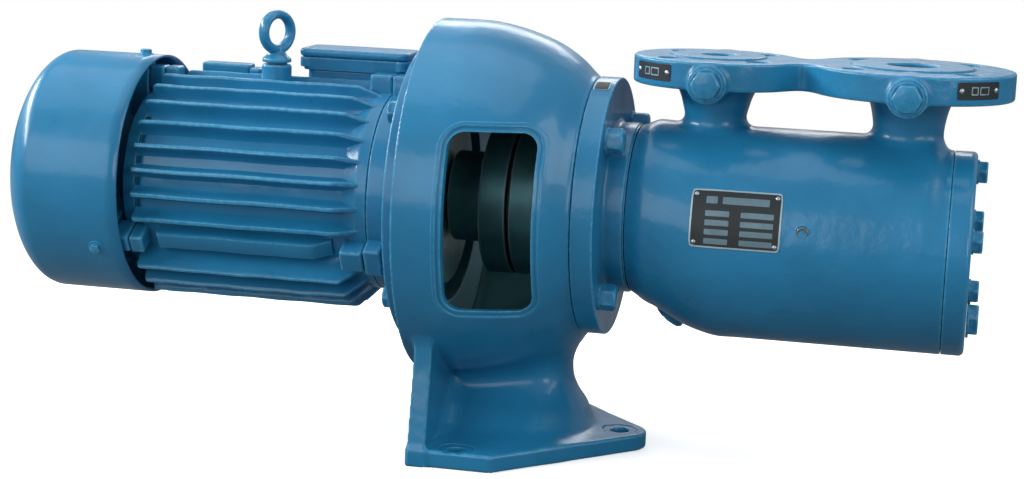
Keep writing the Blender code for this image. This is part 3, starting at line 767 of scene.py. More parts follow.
# %% The terminal box
box_x, box_y, box_z = (span("terminal_box_lid", axis) for axis in range(3))
LID_CENTRE = np.array([(box_x[0] + box_x[1]) / 2, (box_y[0] + box_y[1]) / 2])
LID_HALF = ((box_x[1] - box_x[0]) / 2, (box_y[1] - box_y[0]) / 2)
body_z = span("terminal_box", 2)
walls = plate(box_outline(LID_HALF[0] - 2.0, LID_HALF[1] - 2.0, 6.0, LID_CENTRE), body_z[0], body_z[1], 1.0)
taper = 1 - 0.03 * np.clip(body_z[1] - walls[0][:, 2:], 0, None) / (body_z[1] - body_z[0])
walls[0][:, :2] = LID_CENTRE + (walls[0][:, :2] - LID_CENTRE) * taper
CORNER_INSET, CORNER_BOSS_R, CORNER_BOSS_LOW = 6.5, 6.0, 99.0
corner_bosses, lid_screws = [], []
for sx in (-1, 1):
    for sy in (-1, 1):
        corner = LID_CENTRE + (sx * (LID_HALF[0] - CORNER_INSET), sy * (LID_HALF[1] - CORNER_INSET))
        boss = disc(CORNER_BOSS_R, CORNER_BOSS_LOW, body_z[1], 1.0)
        corner_bosses.append(aimed(boss, (*corner, 0.0), (0.0, 0.0, 1.0)))
        lid_screws.append(aimed(dome(3.2, 1.4), (*corner, box_z[1] - 1.7), (0.0, 0.0, 1.0)))
add("terminal_box_casting", together(walls, *corner_bosses), paint_cast, ("terminal_box",))
lid = plate(box_outline(*LID_HALF, 7.0, LID_CENTRE), box_z[0], box_z[1] - 0.5, 3.0, 6)
add("terminal_box_cover", together(lid, *lid_screws), paint_smooth, ("terminal_box_lid",))
gland_low, gland_high = span("cable_gland", 1)
gland_x, gland_z = (sum(span("cable_gland", axis)) / 2 for axis in (0, 2))
GLAND_HEAD = 9.0
gland_at = (gland_x, gland_low, gland_z)
gland = [aimed(hex_head(9.6, GLAND_HEAD), gland_at, (0.0, 1.0, 0.0))]
gland.append(aimed(disc(3.6, GLAND_HEAD - 1.0, gland_high - gland_low, 1.0), gland_at, (0.0, 1.0, 0.0)))
add("cable_entry", together(*gland), fan_plastic, ("cable_gland",))

# %% [markdown]
# The two big castings can't come from a grid of rows and columns, because their walls run into each
# other with wide fillets. Booleans and a bevel often fail on such edges. They are fields instead: a
# function gives the distance of any point to the surface, and is negative inside. A wall is one
# subtraction, and two walls join with a true round fillet if their distances are blended as two
# sides of a right-angled triangle. The surface is where the field is zero.

# %% Distances and how they join
def joined(a, b, radius):
    """Union with a fillet: max(r, min(a, b)) - length(max(r - a, 0), max(r - b, 0))."""
    blend = np.hypot(np.maximum(radius - a, 0), np.maximum(radius - b, 0))
    return np.maximum(radius, np.minimum(a, b)) - blend


def common(a, b, radius):
    """Intersection with a rounded edge: the union of the outsides, turned inside out."""
    return -joined(-a, -b, radius)


def without(a, b, radius):
    """The first shape less the second, with the new edge rounded."""
    return common(a, -b, radius)


def eased(x, knots, values):
    """A smooth curve through knots: cubic pieces whose slopes at the knots come from the neighbours."""
    knots, values = np.asarray(knots, float), np.asarray(values, float)
    slopes = np.gradient(values, knots)
    x = np.clip(x, knots[0], knots[-1])
    i = np.clip(np.searchsorted(knots, x, side="right") - 1, 0, len(knots) - 2)
    h = knots[i + 1] - knots[i]
    s = (x - knots[i]) / h
    start = (1 + 2 * s) * (1 - s) ** 2 * values[i] + s * (1 - s) ** 2 * h * slopes[i]
    return start + s * s * (3 - 2 * s) * values[i + 1] + s * s * (s - 1) * h * slopes[i + 1]


def steepness(function, at, step=0.5):
    """How much longer the way over a sloping wall is than its run: sqrt(1 + slope squared)."""
    return np.sqrt(1 + ((function(at + step) - function(at - step)) / (2 * step)) ** 2)


def slab(value, low, high):
    """Distance to the space between two parallel planes."""
    return np.maximum(low - value, value - high)


def block(u, v, low_u, high_u, low_v, high_v, radius):
    """Distance to a rectangle with round corners."""
    du = np.abs(u - (low_u + high_u) / 2) - (high_u - low_u) / 2 + radius
    dv = np.abs(v - (low_v + high_v) / 2) - (high_v - low_v) / 2 + radius
    return np.hypot(np.maximum(du, 0), np.maximum(dv, 0)) + np.minimum(np.maximum(du, dv), 0) - radius


def hull_distance(outline, u, v):
    """Distance to a convex outline that runs anticlockwise: the nearest point over all its sides."""
    near, beyond = np.inf, -np.inf
    for a, b in zip(outline, np.roll(outline, -1, 0)):
        e = b - a
        s = np.clip(((u - a[0]) * e[0] + (v - a[1]) * e[1]) / (e @ e), 0, 1)
        near = np.minimum(near, np.hypot(u - a[0] - s * e[0], v - a[1] - s * e[1]))
        beyond = np.maximum(beyond, ((u - a[0]) * e[1] - (v - a[1]) * e[0]) / np.hypot(*e))
    return np.where(beyond > 0, near, -near)


print("3 mm from two walls, a 5 mm fillet is", round(float(joined(3.0, 3.0, 5.0)), 2), "mm away")

# %% [markdown]
# A mesh comes out of a field in three moves. The field is measured on a fine lattice. Each lattice
# cell that the surface passes through gets one vertex, and each lattice edge that it crosses gets
# one face between the four cells round it. Then every vertex slides along the field's gradient
# until its distance is zero, and that gradient is also its normal. Blender's Volume to Mesh node
# makes meshes from fields too, but not with exact normals, and gloss paint shows every error.

# %% From a field to a mesh
CORNERS = np.array([(i, j, k) for i in (0, 1) for j in (0, 1) for k in (0, 1)])
CELL_EDGES = [(a, b) for a in range(8) for b in range(a + 1, 8) if abs(CORNERS[a] - CORNERS[b]).sum() == 1]


def gradient(field, points, step=0.35):
    """Central differences of the field along the three axes."""
    shifts = np.eye(3) * step
    return np.stack([(field(*(points + s).T) - field(*(points - s).T)) / (2 * step) for s in shifts], -1)


def roundness(field, points, step=1.2):
    """Sum of the field's second differences, which is one over the edge's radius, times the mark's radius."""
    here = field(*points.T)
    total = sum(field(*(points + s).T) + field(*(points - s).T) - 2 * here for s in np.eye(3) * step)
    return np.clip(total / step ** 2 * MARK_RADIUS * 1000, -1, 1)


def cell_points(values, cells):
    """In each cell, the mean of the points where the surface crosses the cell's twelve edges."""
    total, count = np.zeros((len(cells), 3)), np.zeros(len(cells))
    for a, b in CELL_EDGES:
        first = values[tuple((cells + CORNERS[a]).T)]
        second = values[tuple((cells + CORNERS[b]).T)]
        cross = (first < 0) != (second < 0)
        s = np.where(cross, first / np.where(cross, first - second, 1.0), 0.0)
        total += cross[:, None] * (CORNERS[a] + s[:, None] * (CORNERS[b] - CORNERS[a]))
        count += cross
    return cells + total / count[:, None]


def mesh_field(field, low, high, cell):
    """Points, faces and normals of the surface where the field is zero."""
    low, high = np.asarray(low, float) - 2 * cell, np.asarray(high, float) + 2 * cell
    axes = np.meshgrid(*[np.arange(a, b, cell) for a, b in zip(low, high)], indexing="ij", sparse=True)
    values = field(*axes)
    inside = values < 0
    size = np.array(values.shape) - 1
    filled = sum(inside[i:size[0] + i, j:size[1] + j, k:size[2] + k].astype(np.int8) for i, j, k in CORNERS)
    cells = np.argwhere((filled > 0) & (filled < 8))
    number = np.full(size, -1)
    number[tuple(cells.T)] = np.arange(len(cells))
    points = low + cell_points(values, cells) * cell
    faces = []
    for axis in range(3):
        first = np.take(inside, range(size[axis]), axis)
        second = np.take(inside, range(1, size[axis] + 1), axis)
        at = np.argwhere(first != second)
        leaving = first[tuple(at.T)]
        u, v = np.eye(3, dtype=int)[(axis + 1) % 3], np.eye(3, dtype=int)[(axis + 2) % 3]
        quads = np.stack([number[tuple((at - shift).T)] for shift in (0 * u, u, u + v, v)], -1)
        faces.append(np.where(leaving[:, None], quads, quads[:, ::-1]))
    for _ in range(3):
        slope_here = gradient(field, points)
        length = np.maximum((slope_here ** 2).sum(1), 0.2)
        move = field(*points.T)[:, None] * slope_here / length[:, None]
        points = points - np.clip(move, -cell / 2, cell / 2)
    normals = gradient(field, points)
    normals /= np.linalg.norm(normals, axis=1)[:, None]
    return points, np.concatenate(faces).tolist(), normals


def add_field(name, field, low, high, cell, material, nodes, slot="blue_paint"):
    """One piece from a field. How it bends is taken from the field too, which is smoother than the mesh."""
    points, faces, normals = mesh_field(field, low, high, cell)
    piece = add(name, (points, faces), material, nodes, normals=normals)
    marks = roundness(field, points).astype(np.float32)
    piece.data.attributes[EDGE_MARK].data.foreach_set("value", marks)
    return piece


print("a lattice cell has", len(CELL_EDGES), "edges")

# %% [markdown]
# The bell bracket: a round shoulder that narrows from the motor's flange to the pump's, a window in
# either side to reach the coupling, and one foot. The foot's base plate has three holes, a rib
# stands at its rear, and a waisted column runs up into the bell. The sizes are read off the photo
# through its camera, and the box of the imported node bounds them. The column's half width and its
# reach change with height by two curves through measured points, because no simple body narrows and
# widens like that.

# %% The bell bracket's field
BELL_R = span("bell_housing", 2)[1]
FLOOR = span("bell_housing", 2)[0]
WALL = 9.0
BELL_X = (0, 25, 40, 57, 68, 78, 89, 99, 109, 120, 128, 133, 136)
BELL_RADII = (148.4, 148.4, 148.15, 145.8, 143.4, 140.5, 136.8, 132.5, 126.8, 118.6, 111.0, 107.0, 105.9)
WAIST_Z = (-206, -191.5, -188, -184, -178, -173, -169, -164, -158, -149, -139, -129, -120, -112, -98, -80)
WAIST_HALF = (88, 84, 76, 68, 61, 56, 52, 46, 40, 34.5, 33.0, 35, 40, 47, 58, 70)
WAIST_REACH = (149, 147.5, 143.5, 141, 138.6, 136.8, 134.6, 131.3)
WAIST_REACH += (128, 124.5, 123.2, 123.3, 124.5, 127, 131, 135)
NOSE_START = 92.0
BASE_TOP, RIB_TOP = -190.5, -98.0
RIB_Z, RIB_HALF = (-206, -198, -168.7, -145, -121, -98), (121.5, 121.3, 117.0, 112.5, 108.5, 107.5)
FOOT_HOLES = ((50.0, -106.8), (50.0, 106.8), (166.0, 0.0))
WINDOW_LOW, WINDOW_HIGH, WINDOW_CORNER = (41.0, -73.0), (109.0, 71.0), 13.0
FRAME_REACH = 5.6
SIDE_AT, SIDE_R, NOSE_R = np.array([79.0, -114.0]), 7.0, 22.5
REAR_AT, REAR_R = (14.0, -119.0), 2.0
SHELL_X, CAVITY_X = (0.0, 135.2), (16.0, 121.0)
BELL_SPIGOT_R, FRONT_BORE_R = 89.7, 70.0
COLUMN_START, RIB_X = 18.0, (12.0, 27.0)
COLUMN_FILLET, BASE_FILLET = 16.0, 5.0
FOOT_HOLE_R, SPOT_FACE_R, SPOT_FACE_DEEP = 7.3, 14.3, 0.9


def base_outline():
    """The outline round four arcs, anticlockwise from the rear corner on the near side.

    The straight side touches both arcs. The cosine of the angle between its normal and the line through their
    centres is the difference of the radii over the distance.
    """
    between = np.array([FOOT_HOLES[2][0], 0.0]) - SIDE_AT
    touch = np.arctan2(between[1], between[0]) - np.arccos((SIDE_R - NOSE_R) / np.hypot(*between))
    near = circle(SIDE_R, 12, SIDE_AT, -np.pi / 2, touch)
    nose = circle(NOSE_R, 24, FOOT_HOLES[2], touch, -touch)
    rear = circle(REAR_R, 8, REAR_AT, -np.pi, -np.pi / 2)
    half = np.concatenate([rear, near])
    return np.concatenate([half, nose, half[::-1] * (1, -1)])


BASE = base_outline()


def column_field(x, y, z):
    """Straight sides, then half an ellipse towards the pump. Both sizes change with height."""
    half = eased(z, WAIST_Z, WAIST_HALF)
    reach = eased(z, WAIST_Z, WAIST_REACH) - NOSE_START
    ahead = np.maximum(x - NOSE_START, 0) * half / reach
    around = np.hypot(ahead, y)
    tilt = np.hypot(ahead * half / reach, y) / np.maximum(around, 1e-6)
    side = (around - half) / np.maximum(tilt, 0.3)
    return side / steepness(lambda at: eased(at, WAIST_Z, WAIST_HALF), z)


def bell_wall(x, y, z):
    """Distance to the bell's turned outside: the radius less the profile's, over the profile's steepness."""
    outside = np.hypot(y, z) - eased(x, BELL_X, BELL_RADII)
    return outside / steepness(lambda at: eased(at, BELL_X, BELL_RADII), x)


def bell_field(x, y, z):
    """Bell, rib, column and base joined with fillets, less the cavity, the windows and the holes."""
    rho, wall = np.hypot(y, z), bell_wall(x, y, z)
    bell = common(wall, slab(x, *SHELL_X), 1.6)
    column = np.maximum(column_field(x, y, z), slab(z, -206.0, -84.0))
    column = np.maximum(column, COLUMN_START - x)
    rib_side = (np.abs(y) - eased(z, RIB_Z, RIB_HALF)) / 1.012
    rib = common(common(slab(x, *RIB_X), rib_side, 1.8), slab(z, -206.0, RIB_TOP), 1.5)
    base = common(hull_distance(BASE, x, y), slab(z, FLOOR, BASE_TOP), 2.6)
    foot = joined(rib, column, COLUMN_FILLET)
    foot = joined(foot, base, BASE_FILLET)
    solid = np.minimum(joined(bell, foot, BASE_FILLET), joined(bell, column, COLUMN_FILLET))
    solid = np.maximum(solid, FLOOR - z)
    cavity = common(wall + WALL, slab(x, *CAVITY_X), 6.0)
    cavity = np.minimum(cavity, common(rho - BELL_SPIGOT_R, slab(x, -9.0, 30.0), 0.1))
    cavity = np.minimum(cavity, common(rho - FRONT_BORE_R, slab(x, 100.0, 150.0), 0.1))
    solid = without(solid, cavity, 1.5)
    opening = block(x, z, WINDOW_LOW[0], WINDOW_HIGH[0], WINDOW_LOW[1], WINDOW_HIGH[1], WINDOW_CORNER)
    side_only = np.maximum(np.abs(z) - 110.0, 60.0 - np.abs(y))
    solid = np.maximum(solid, -np.maximum(opening - FRAME_REACH, side_only))
    for hole_x, hole_y in FOOT_HOLES:
        far = np.hypot(x - hole_x, y - hole_y)
        solid = without(solid, np.maximum(far - FOOT_HOLE_R, z + 150.0), 0.9)
        spot_face = common(far - SPOT_FACE_R, slab(z, BASE_TOP - SPOT_FACE_DEEP, -150.0), 0.8)
        solid = without(solid, spot_face, 0.6)
    return solid


print("the foot's outline has", len(BASE), "points")

# %% [markdown]
# One mesh shows two finishes: enamel outside, bare oily iron inside. A mask painted by hand could
# part them. Here each face takes its finish from where its middle lies, and the line between the
# two runs where the window's border hides it.

# %% The bell bracket's mesh
BELL_CELL = 2.0
bell_low, bell_high = (0, -BELL_R, FLOOR), (190, BELL_R, BELL_R)
bell_box = (bell_low, bell_high, BELL_CELL)
bell_piece = add_field("bell_bracket", bell_field, *bell_box, paint_smooth, ("bell_housing",))
bell_piece.data.materials.append(bell_inside)
middles = np.empty(len(bell_piece.data.polygons) * 3)
bell_piece.data.polygons.foreach_get("center", middles)
mx, my, mz = ((middles.reshape(-1, 3) - (REAR_X, 0.0, AXIS_Z)) * 1000).T
within = (bell_wall(mx, my, mz) < -WALL / 2) & (mx > 1.0) & (mx < 134.0)
bell_piece.data.polygons.foreach_set("material_index", within.astype(np.int32))
print(int(within.sum()), "faces of bare iron inside the bell")

# %% [markdown]
# The bell's rear wall is faced flat where the motor's flange centres in it, so a pale ring of cut
# iron lies there among the dark. Its colour is paler than cut iron alone: painted light for the
# light that reaches it through the window. It could be one more material on the casting's faces.
# A turned ring, a hair above the wall, has a rounder edge.

# %% The machined ring inside the bell, made paler with painted light
# This ring's pale colour is cut iron plus painted light.
rear_wall = [(15.7, 90.0), (16.15, 90.3), (16.3, 91.0), (16.3, 135.0), (15.7, 136.0)]
add("machined_ring_painted_light", turned(rear_wall, 240), machined_and_painted_light)

# %% [markdown]
# Round each window runs a narrow sunk border. Cut into the field, its edges would be as ragged as
# the lattice is coarse, so it is a surface of its own: the window's outline is the first parameter
# and the border's section the second. Every point starts on the bell's turned outside, where y =
# sqrt(R(x)^2 - z^2), and sinks by its depth along the bell's normal.

# %% The window's sunk border
FRAME_WIDE, FRAME_SUNK = 8.5, 1.5


def window_loop(grow):
    """The window's outline, moved out by some millimetres, as (x, z) points at even turns of its corners."""
    middle = (np.array(WINDOW_LOW) + WINDOW_HIGH) / 2
    half = (np.array(WINDOW_HIGH) - WINDOW_LOW) / 2 + grow
    outline = box_outline(*half, WINDOW_CORNER + grow, middle, 16)
    out = []
    for k in range(4):
        corner = outline[17 * k:17 * k + 17]
        ahead = outline[(17 * k + 17) % len(outline)]
        out += [corner, corner[-1] + (ahead - corner[-1]) * np.linspace(0, 1, 26)[1:-1, None]]
    return np.concatenate(out)


def on_bell(xz, depth, straight=0.0):
    """Points on the near side of the bell, sunk along its normal, then moved straight inwards along y."""
    x, z = xz.T
    radius = eased(x, BELL_X, BELL_RADII)
    lean = eased(x + 0.5, BELL_X, BELL_RADII) - eased(x - 0.5, BELL_X, BELL_RADII)
    outside = np.stack([x, -np.sqrt(radius ** 2 - z ** 2), z], -1)
    normal = np.stack([-lean, outside[:, 1] / radius, z / radius], -1)
    normal /= np.linalg.norm(normal, axis=1)[:, None]
    return outside - normal * depth + (0.0, straight, 0.0)


def window_frame(side):
    """Carries (outwards, sunk, straight in) points round the window: inner wall, flat, step, lip and back."""
    inside = WALL + 1.5 - 1.8
    wall = [(0.0, FRAME_SUNK, inside), (0.0, FRAME_SUNK, 4.0), (0.0, FRAME_SUNK, 1.2)]
    flat = [(0.15, FRAME_SUNK, 0.5), (0.5, FRAME_SUNK, 0.12), (1.0, FRAME_SUNK, 0.0), (2.0, FRAME_SUNK, 0.0)]
    step = [(2.8, 1.45, 0.0), (3.4, 1.25, 0.0), (3.8, 0.9, 0.0), (4.2, 0.45, 0.0), (4.6, 0.12, 0.0)]
    lip = [(5.2, -0.03, 0.0), (6.0, -0.04, 0.0), (6.8, -0.04, 0.0), (7.6, -0.03, 0.0)]
    back = [(FRAME_WIDE, 0.6, 0.0), (FRAME_WIDE, FRAME_SUNK, 4.0), (FRAME_WIDE - 0.5, FRAME_SUNK, inside)]
    section = wall + flat + step + lip + back
    rings = np.stack([on_bell(window_loop(grow), depth, straight) for grow, depth, straight in section])
    rings[:, :, 1] *= -side
    return rings.reshape(-1, 3), grid_faces(len(section), rings.shape[1], close_rows=True)


add("window_borders", together(window_frame(-1), window_frame(1)), paint_smooth, crease=50.0)

# %% [markdown]
# The pump's body is the second field. Two tubes make the barrel: one on the shaft's line, and a
# bigger one below it that the neck swells into. Two flared necks carry a flat plate with the ports,
# and a boss for two plugs crosses the plate at each port. A flat drain pad stands out of the slope
# underneath. Sculpting could blend all this too, but then no bore or flange would have a known
# size.

# %% The pump body's field
BARREL_R = (span("end_cover", 1)[1] - span("end_cover", 1)[0]) / 2
BARREL_Z = (span("end_cover", 2)[0] + span("end_cover", 2)[1]) / 2
NECK_X = (172, 180, 190, 200, 214, 230, 245, 262, 430)
NECK_CENTRE = (0.0, -1.5, -4.5, -8.5, -13.5, -17.0, BARREL_Z, BARREL_Z, BARREL_Z)
NECK_RADIUS = (69.0, 70.5, 73.0, 75.6, 78.3, 80.6, BARREL_R, BARREL_R, BARREL_R)
LOWER_X, UPPER_X, UPPER_R = (172.4, 426.5), (183.0, 413.0), 73.2
Port = namedtuple("Port", "x radius face bore bolt_circle flare")
PORTS = {
    "discharge": Port(233.0, 68.5, 39.0, 14.0, 50.0, (25, 25, 25.3, 27.2, 28.9, 31.0, 33, 33)),
    "suction": Port(388.7, 81.4, 49.0, 20.0, 62.5, (28, 28, 28.4, 29.6, 31.0, 32.6, 34.5, 34.5)),
}
FLARE_Z = (0, 76, 82, 90, 96, 101, 107, 125)
FACE_HIGH, BOLT_HOLE_R, SHAFT_HOLE = 1.5, 9.0, (18.0, 190.0)
BARREL_FILLET, PLATE_FILLET, NECK_FILLET, TOP_FILLET = 12.0, 24.0, 9.0, 5.0
PLATE_TOP = span("pump_body", 2)[1] - FACE_HIGH
PLATE_LOW = 107.0
BOSS_Z, BOSS_R, BOSS_REACH = 112.5, 15.7, 4.0
PAD_CENTRE, PAD_OUT, PAD_R = np.array([203.8, -88.6]), np.array([-0.6, -0.8]), 13.0


def neck_tube(x, y, z):
    """Distance to the lower tube, whose centre sinks and whose radius grows along the neck."""
    centre = eased(x, NECK_X, NECK_CENTRE)
    tube = np.hypot(y, z - centre) - eased(x, NECK_X, NECK_RADIUS)
    return tube / steepness(lambda at: eased(at, NECK_X, NECK_RADIUS), x)


def pump_field(x, y, z):
    """Tubes, necks, plate and bosses joined with fillets, less the bores and the flange holes."""
    lower = common(neck_tube(x, y, z), slab(x, *LOWER_X), 1.4)
    upper = common(np.hypot(y, z) - UPPER_R, slab(x, *UPPER_X), 7.0)
    body = joined(lower, upper, BARREL_FILLET)
    along = (x - PAD_CENTRE[0]) * PAD_OUT[0] + (z - PAD_CENTRE[1]) * PAD_OUT[1]
    across = np.hypot((x - PAD_CENTRE[0]) * PAD_OUT[1] - (z - PAD_CENTRE[1]) * PAD_OUT[0], y)
    body = joined(body, common(across - PAD_R, slab(along, -20.0, 2.0), 0.8), 3.0)
    plan = [np.hypot(x - port.x, y) - port.radius for port in PORTS.values()]
    outline = joined(plan[0], plan[1], PLATE_FILLET)
    top = common(outline, slab(z, PLATE_LOW, PLATE_TOP), 2.2)
    for port in PORTS.values():
        far = np.hypot(x - port.x, y)
        flare = eased(z, FLARE_Z, port.flare)
        flared = (far - flare) / steepness(lambda at: eased(at, FLARE_Z, port.flare), z)
        body = joined(body, np.maximum(flared, slab(z, 0.0, 120.0)), NECK_FILLET)
        top = joined(top, common(far - port.face, slab(z, 112.0, PLATE_TOP + FACE_HIGH), 0.6), 1.0)
        boss = common(np.hypot(x - port.x, z - BOSS_Z) - BOSS_R, np.abs(y) - port.radius - BOSS_REACH, 1.5)
        top = joined(top, boss, 3.5)
    body = joined(body, top, TOP_FILLET)
    for port in PORTS.values():
        far = np.hypot(x - port.x, y)
        body = without(body, np.maximum(far - port.bore, 20.0 - z), 1.2)
        spread = port.bolt_circle / np.sqrt(2)
        hole = np.hypot(np.abs(x - port.x) - spread, np.abs(y) - spread) - BOLT_HOLE_R
        body = without(body, np.maximum(hole, 80.0 - z), 0.8)
    shaft_hole = np.maximum(np.hypot(y, z) - SHAFT_HOLE[0], x - SHAFT_HOLE[1])
    return without(body, shaft_hole, 0.5)


print("ports at x =", [port.x for port in PORTS.values()])

# %% [markdown]
# The pump's body is measured on a finer lattice than the bell, because its fillets and the edges of
# its plate are smaller. The bell's wider spacing would be quicker, but small rims would come out
# less round.

# %% The pump body's mesh
PUMP_CELL = 1.75
pump_low = (160.0, -90.0, BARREL_Z - 88.0)
pump_high = (474.0, 90.0, PLATE_TOP + 3.0)
add_field("pump_casting", pump_field, pump_low, pump_high, PUMP_CELL, paint_cast, ("pump_body",))

# %% [markdown]
# The turned parts of the pump are the front cover, with the flange that bolts to the bell, and the
# flat end cover. Hexagon bolts hold both. A Spin in edit mode would turn them too. As profiles of a
# few pairs of numbers they are easy to correct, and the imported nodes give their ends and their
# largest radii.

# %% Front cover and end cover
front_x = span("pump_front_cover", 0)
flange_radius = span("pump_front_cover", 2)[1]
COVER_FACE_X = 153.8
FLANGE_BOLTS = ((-62.0, 62.0), (62.0, 62.0), (-62.0, -65.0), (62.0, -65.0))
END_BOLTS = ((0.0, 48.6), (52.5, 0.4), (-52.5, 0.4), (0.0, -48.5))
COVER_BACK_X, FRONT_SPIGOT_R, PUMP_SHAFT_R = 135.6, 69.6, 12.5
profile = [(front_x[0], PUMP_SHAFT_R), (front_x[0], FRONT_SPIGOT_R), (COVER_BACK_X, FRONT_SPIGOT_R)]
profile += [(COVER_BACK_X, flange_radius), (COVER_FACE_X, flange_radius), (COVER_FACE_X, 70.5), (170.6, 70.5)]
profile += [(170.9, 69.0), (front_x[1], 69.0), (front_x[1], PUMP_SHAFT_R)]
front_shape = turned(soften(profile, [0, 1, 0.5, 1.3, 1.3, 4.0, 0.8, 0.3, 0.3, 0]), 180)
add("front_cover", front_shape, paint_cast, ("pump_front_cover",))
end_x = span("end_cover", 0)
profile = [(end_x[0], 1.0), (end_x[0], BARREL_R - 0.1), (end_x[1], BARREL_R - 0.1), (end_x[1], 1.0)]
end_shape = turned(soften(profile, [0, 0.7, 4.2, 0], loop=False), 180, BARREL_Z, loop=False)
add("end_cover_disc", end_shape, paint_cast, ("end_cover",))
flange_screws = []
for y, z in FLANGE_BOLTS:
    twist = 0.2 + 0.3 * y / 62
    flange_screws.append(aimed(bolt(19.0, 15.0, 2.4), (COVER_FACE_X, y, z), (1.0, 0.0, 0.0), twist))
add("bell_flange_bolts", together(*flange_screws), paint_smooth)
end_screws = [aimed(bolt(17.0, 8.4), (end_x[1], y, z), (1.0, 0.0, 0.0), 0.4) for y, z in END_BOLTS]
add("end_cover_bolts", together(*end_screws), paint_smooth)
relief_head = hex_head(24.0, 7.2)
relief = together(disc(15.0, 0.0, 2.2, 0.6), (relief_head[0] + (0, 0, 2.2), relief_head[1]))
relief = aimed(relief, (end_x[1] + 0.3, 0.0, -72.0), (1.0, 0.0, 0.0), 0.3)
add("relief_plug_head", relief, paint_smooth, ("relief_plug",))


def barrel_side(z):
    """How far the barrel reaches sideways at a height: sqrt(R squared - height over its axis squared)."""
    return float(np.sqrt(BARREL_R ** 2 - (z - BARREL_Z) ** 2))

# %% [markdown]
# A hexagon plug closes the gauge tap on either side of each port, and a socket plug the one on the
# barrel. The hexagons are the bolt heads from above on a round seat. The socket could be a hexagon
# hole. At its size a round one can't be told from it, so a small turned cup in a painted collar is
# enough.

# %% Plugs
head = hex_head(20.5, 8.0)
shape = together(disc(13.2, -0.3, 1.6, 0.5), (head[0] + (0, 0, 1.5), head[1]))
for name, port in PORTS.items():
    for side, word in ((-1, "near"), (1, "far")):
        seat_at = (port.x, side * (port.radius + BOSS_REACH), BOSS_Z)
        node = f"gauge_plug_{name}_{word}"
        add(node + "_head", aimed(shape, seat_at, (0.0, side, 0.0), 0.52), paint_cast, (node,))
SOCKET_X, SOCKET_Z = 315.5, 2.3
socket_seat_y = -barrel_side(SOCKET_Z)
socket_profile = [(-6.5, 0.5), (-6.5, 4.9), (0.0, 4.9), (0.0, 2.9), (-4.0, 2.8), (-4.0, 0.3)]
points, faces = turned(soften(socket_profile, [0, 0, 0.8, 0.4, 0, 0], loop=False), 40, loop=False)
socket = aimed((points[:, [1, 2, 0]], faces), (SOCKET_X, socket_seat_y - 1.4, SOCKET_Z), (0.0, -1.0, 0.0))
add("socket_plug", socket, dark_steel, ("drain_plug",))
points, faces = turned(soften([(-2.0, 5.2), (-2.0, 7.0), (0.9, 6.6), (0.9, 5.3)], [0, 0, 0.4, 0.3]), 40)
collar = aimed((points[:, [1, 2, 0]], faces), (SOCKET_X, socket_seat_y, SOCKET_Z), (0.0, -1.0, 0.0))
add("socket_collar", collar, paint_cast)

# %% [markdown]
# Plates on a machine are thin sheets that were bent to whatever they are riveted to. A flat plate
# with a Shrinkwrap modifier would follow the casting as well. Here a flat grid is worked out first,
# and then a formula rolls it round the barrel, the flange or the rim of a port, so that its
# thickness stays the same all over.

# %% Plates rolled on round seats
def curved_plate(width, height, low, high, corner=2.0, steps=(28, 10)):
    """A thin plate: a grid for its front, one for its back, and walls round the rim.

    A point is (width / 2 * u, height / 2 * v), drawn in at the corners to follow an arc.
    """
    u = np.linspace(-1, 1, steps[0])[:, None] + np.zeros(steps[1])
    v = np.linspace(-1, 1, steps[1])[None, :] + np.zeros((steps[0], 1))
    flat_u, flat_v = width / 2 * u, height / 2 * v
    over_u = np.maximum(np.abs(flat_u) - width / 2 + corner, 0)
    over_v = np.maximum(np.abs(flat_v) - height / 2 + corner, 0)
    pull = corner / np.maximum(np.hypot(over_u, over_v), corner)
    flat_u = np.sign(flat_u) * (np.abs(flat_u) - over_u * (1 - pull))
    flat_v = np.sign(flat_v) * (np.abs(flat_v) - over_v * (1 - pull))
    top = np.stack([flat_u, flat_v, high + 0 * flat_u], -1)
    bottom = np.stack([flat_u, flat_v, low + 0 * flat_u], -1)
    count = steps[0] * steps[1]
    sheet_faces = grid_faces(*steps, close_columns=False)
    grid = np.arange(count).reshape(steps)
    rim = np.concatenate([grid[:-1, 0], grid[-1, :-1], grid[:0:-1, -1], grid[0, :0:-1]])
    walls = [[a, b, b + count, a + count] for a, b in zip(rim.tolist(), np.roll(rim, -1).tolist())]
    faces = sheet_faces + [[i + count for i in face[::-1]] for face in sheet_faces] + walls
    return np.concatenate([top.reshape(-1, 3), bottom.reshape(-1, 3)]), faces


def casting_radius(x, turn, steps=24):
    """How far the casting reaches from the barrel's axis: from outside, steps in by the field's distance."""
    r = np.full(np.shape(turn), BARREL_R + 15.0)
    for _ in range(steps):
        r = r - 0.9 * pump_field(x, -r * np.cos(turn), BARREL_Z + r * np.sin(turn))
    return r


def rolled_on_barrel(shape, along, up):
    """Lays a plate on the barrel's near side: turn = second axis / R, and the casting carries it."""
    points, faces = shape
    x, turn = along + points[:, 0], (points[:, 1] + up) / BARREL_R
    r = casting_radius(x, turn) + points[:, 2]
    return np.stack([x, -r * np.cos(turn), BARREL_Z + r * np.sin(turn)], -1), faces


def rolled_on_flange(shape, along, up):
    """The same on the round rim of the front cover's flange, whose radius is known."""
    points, faces = shape
    turn, r = (points[:, 1] + up) / flange_radius, flange_radius + points[:, 2]
    return np.stack([along + points[:, 0], -r * np.cos(turn), r * np.sin(turn)], -1), faces


def rolled_on_disc(shape, port_x, radius, angle, height):
    """Lays a plate on a port's rim: turn = angle + first axis / radius."""
    points, faces = shape
    turn, r = np.radians(angle) + points[:, 0] / radius, radius + points[:, 2]
    return np.stack([port_x + r * np.cos(turn), r * np.sin(turn), height + points[:, 1]], -1), faces

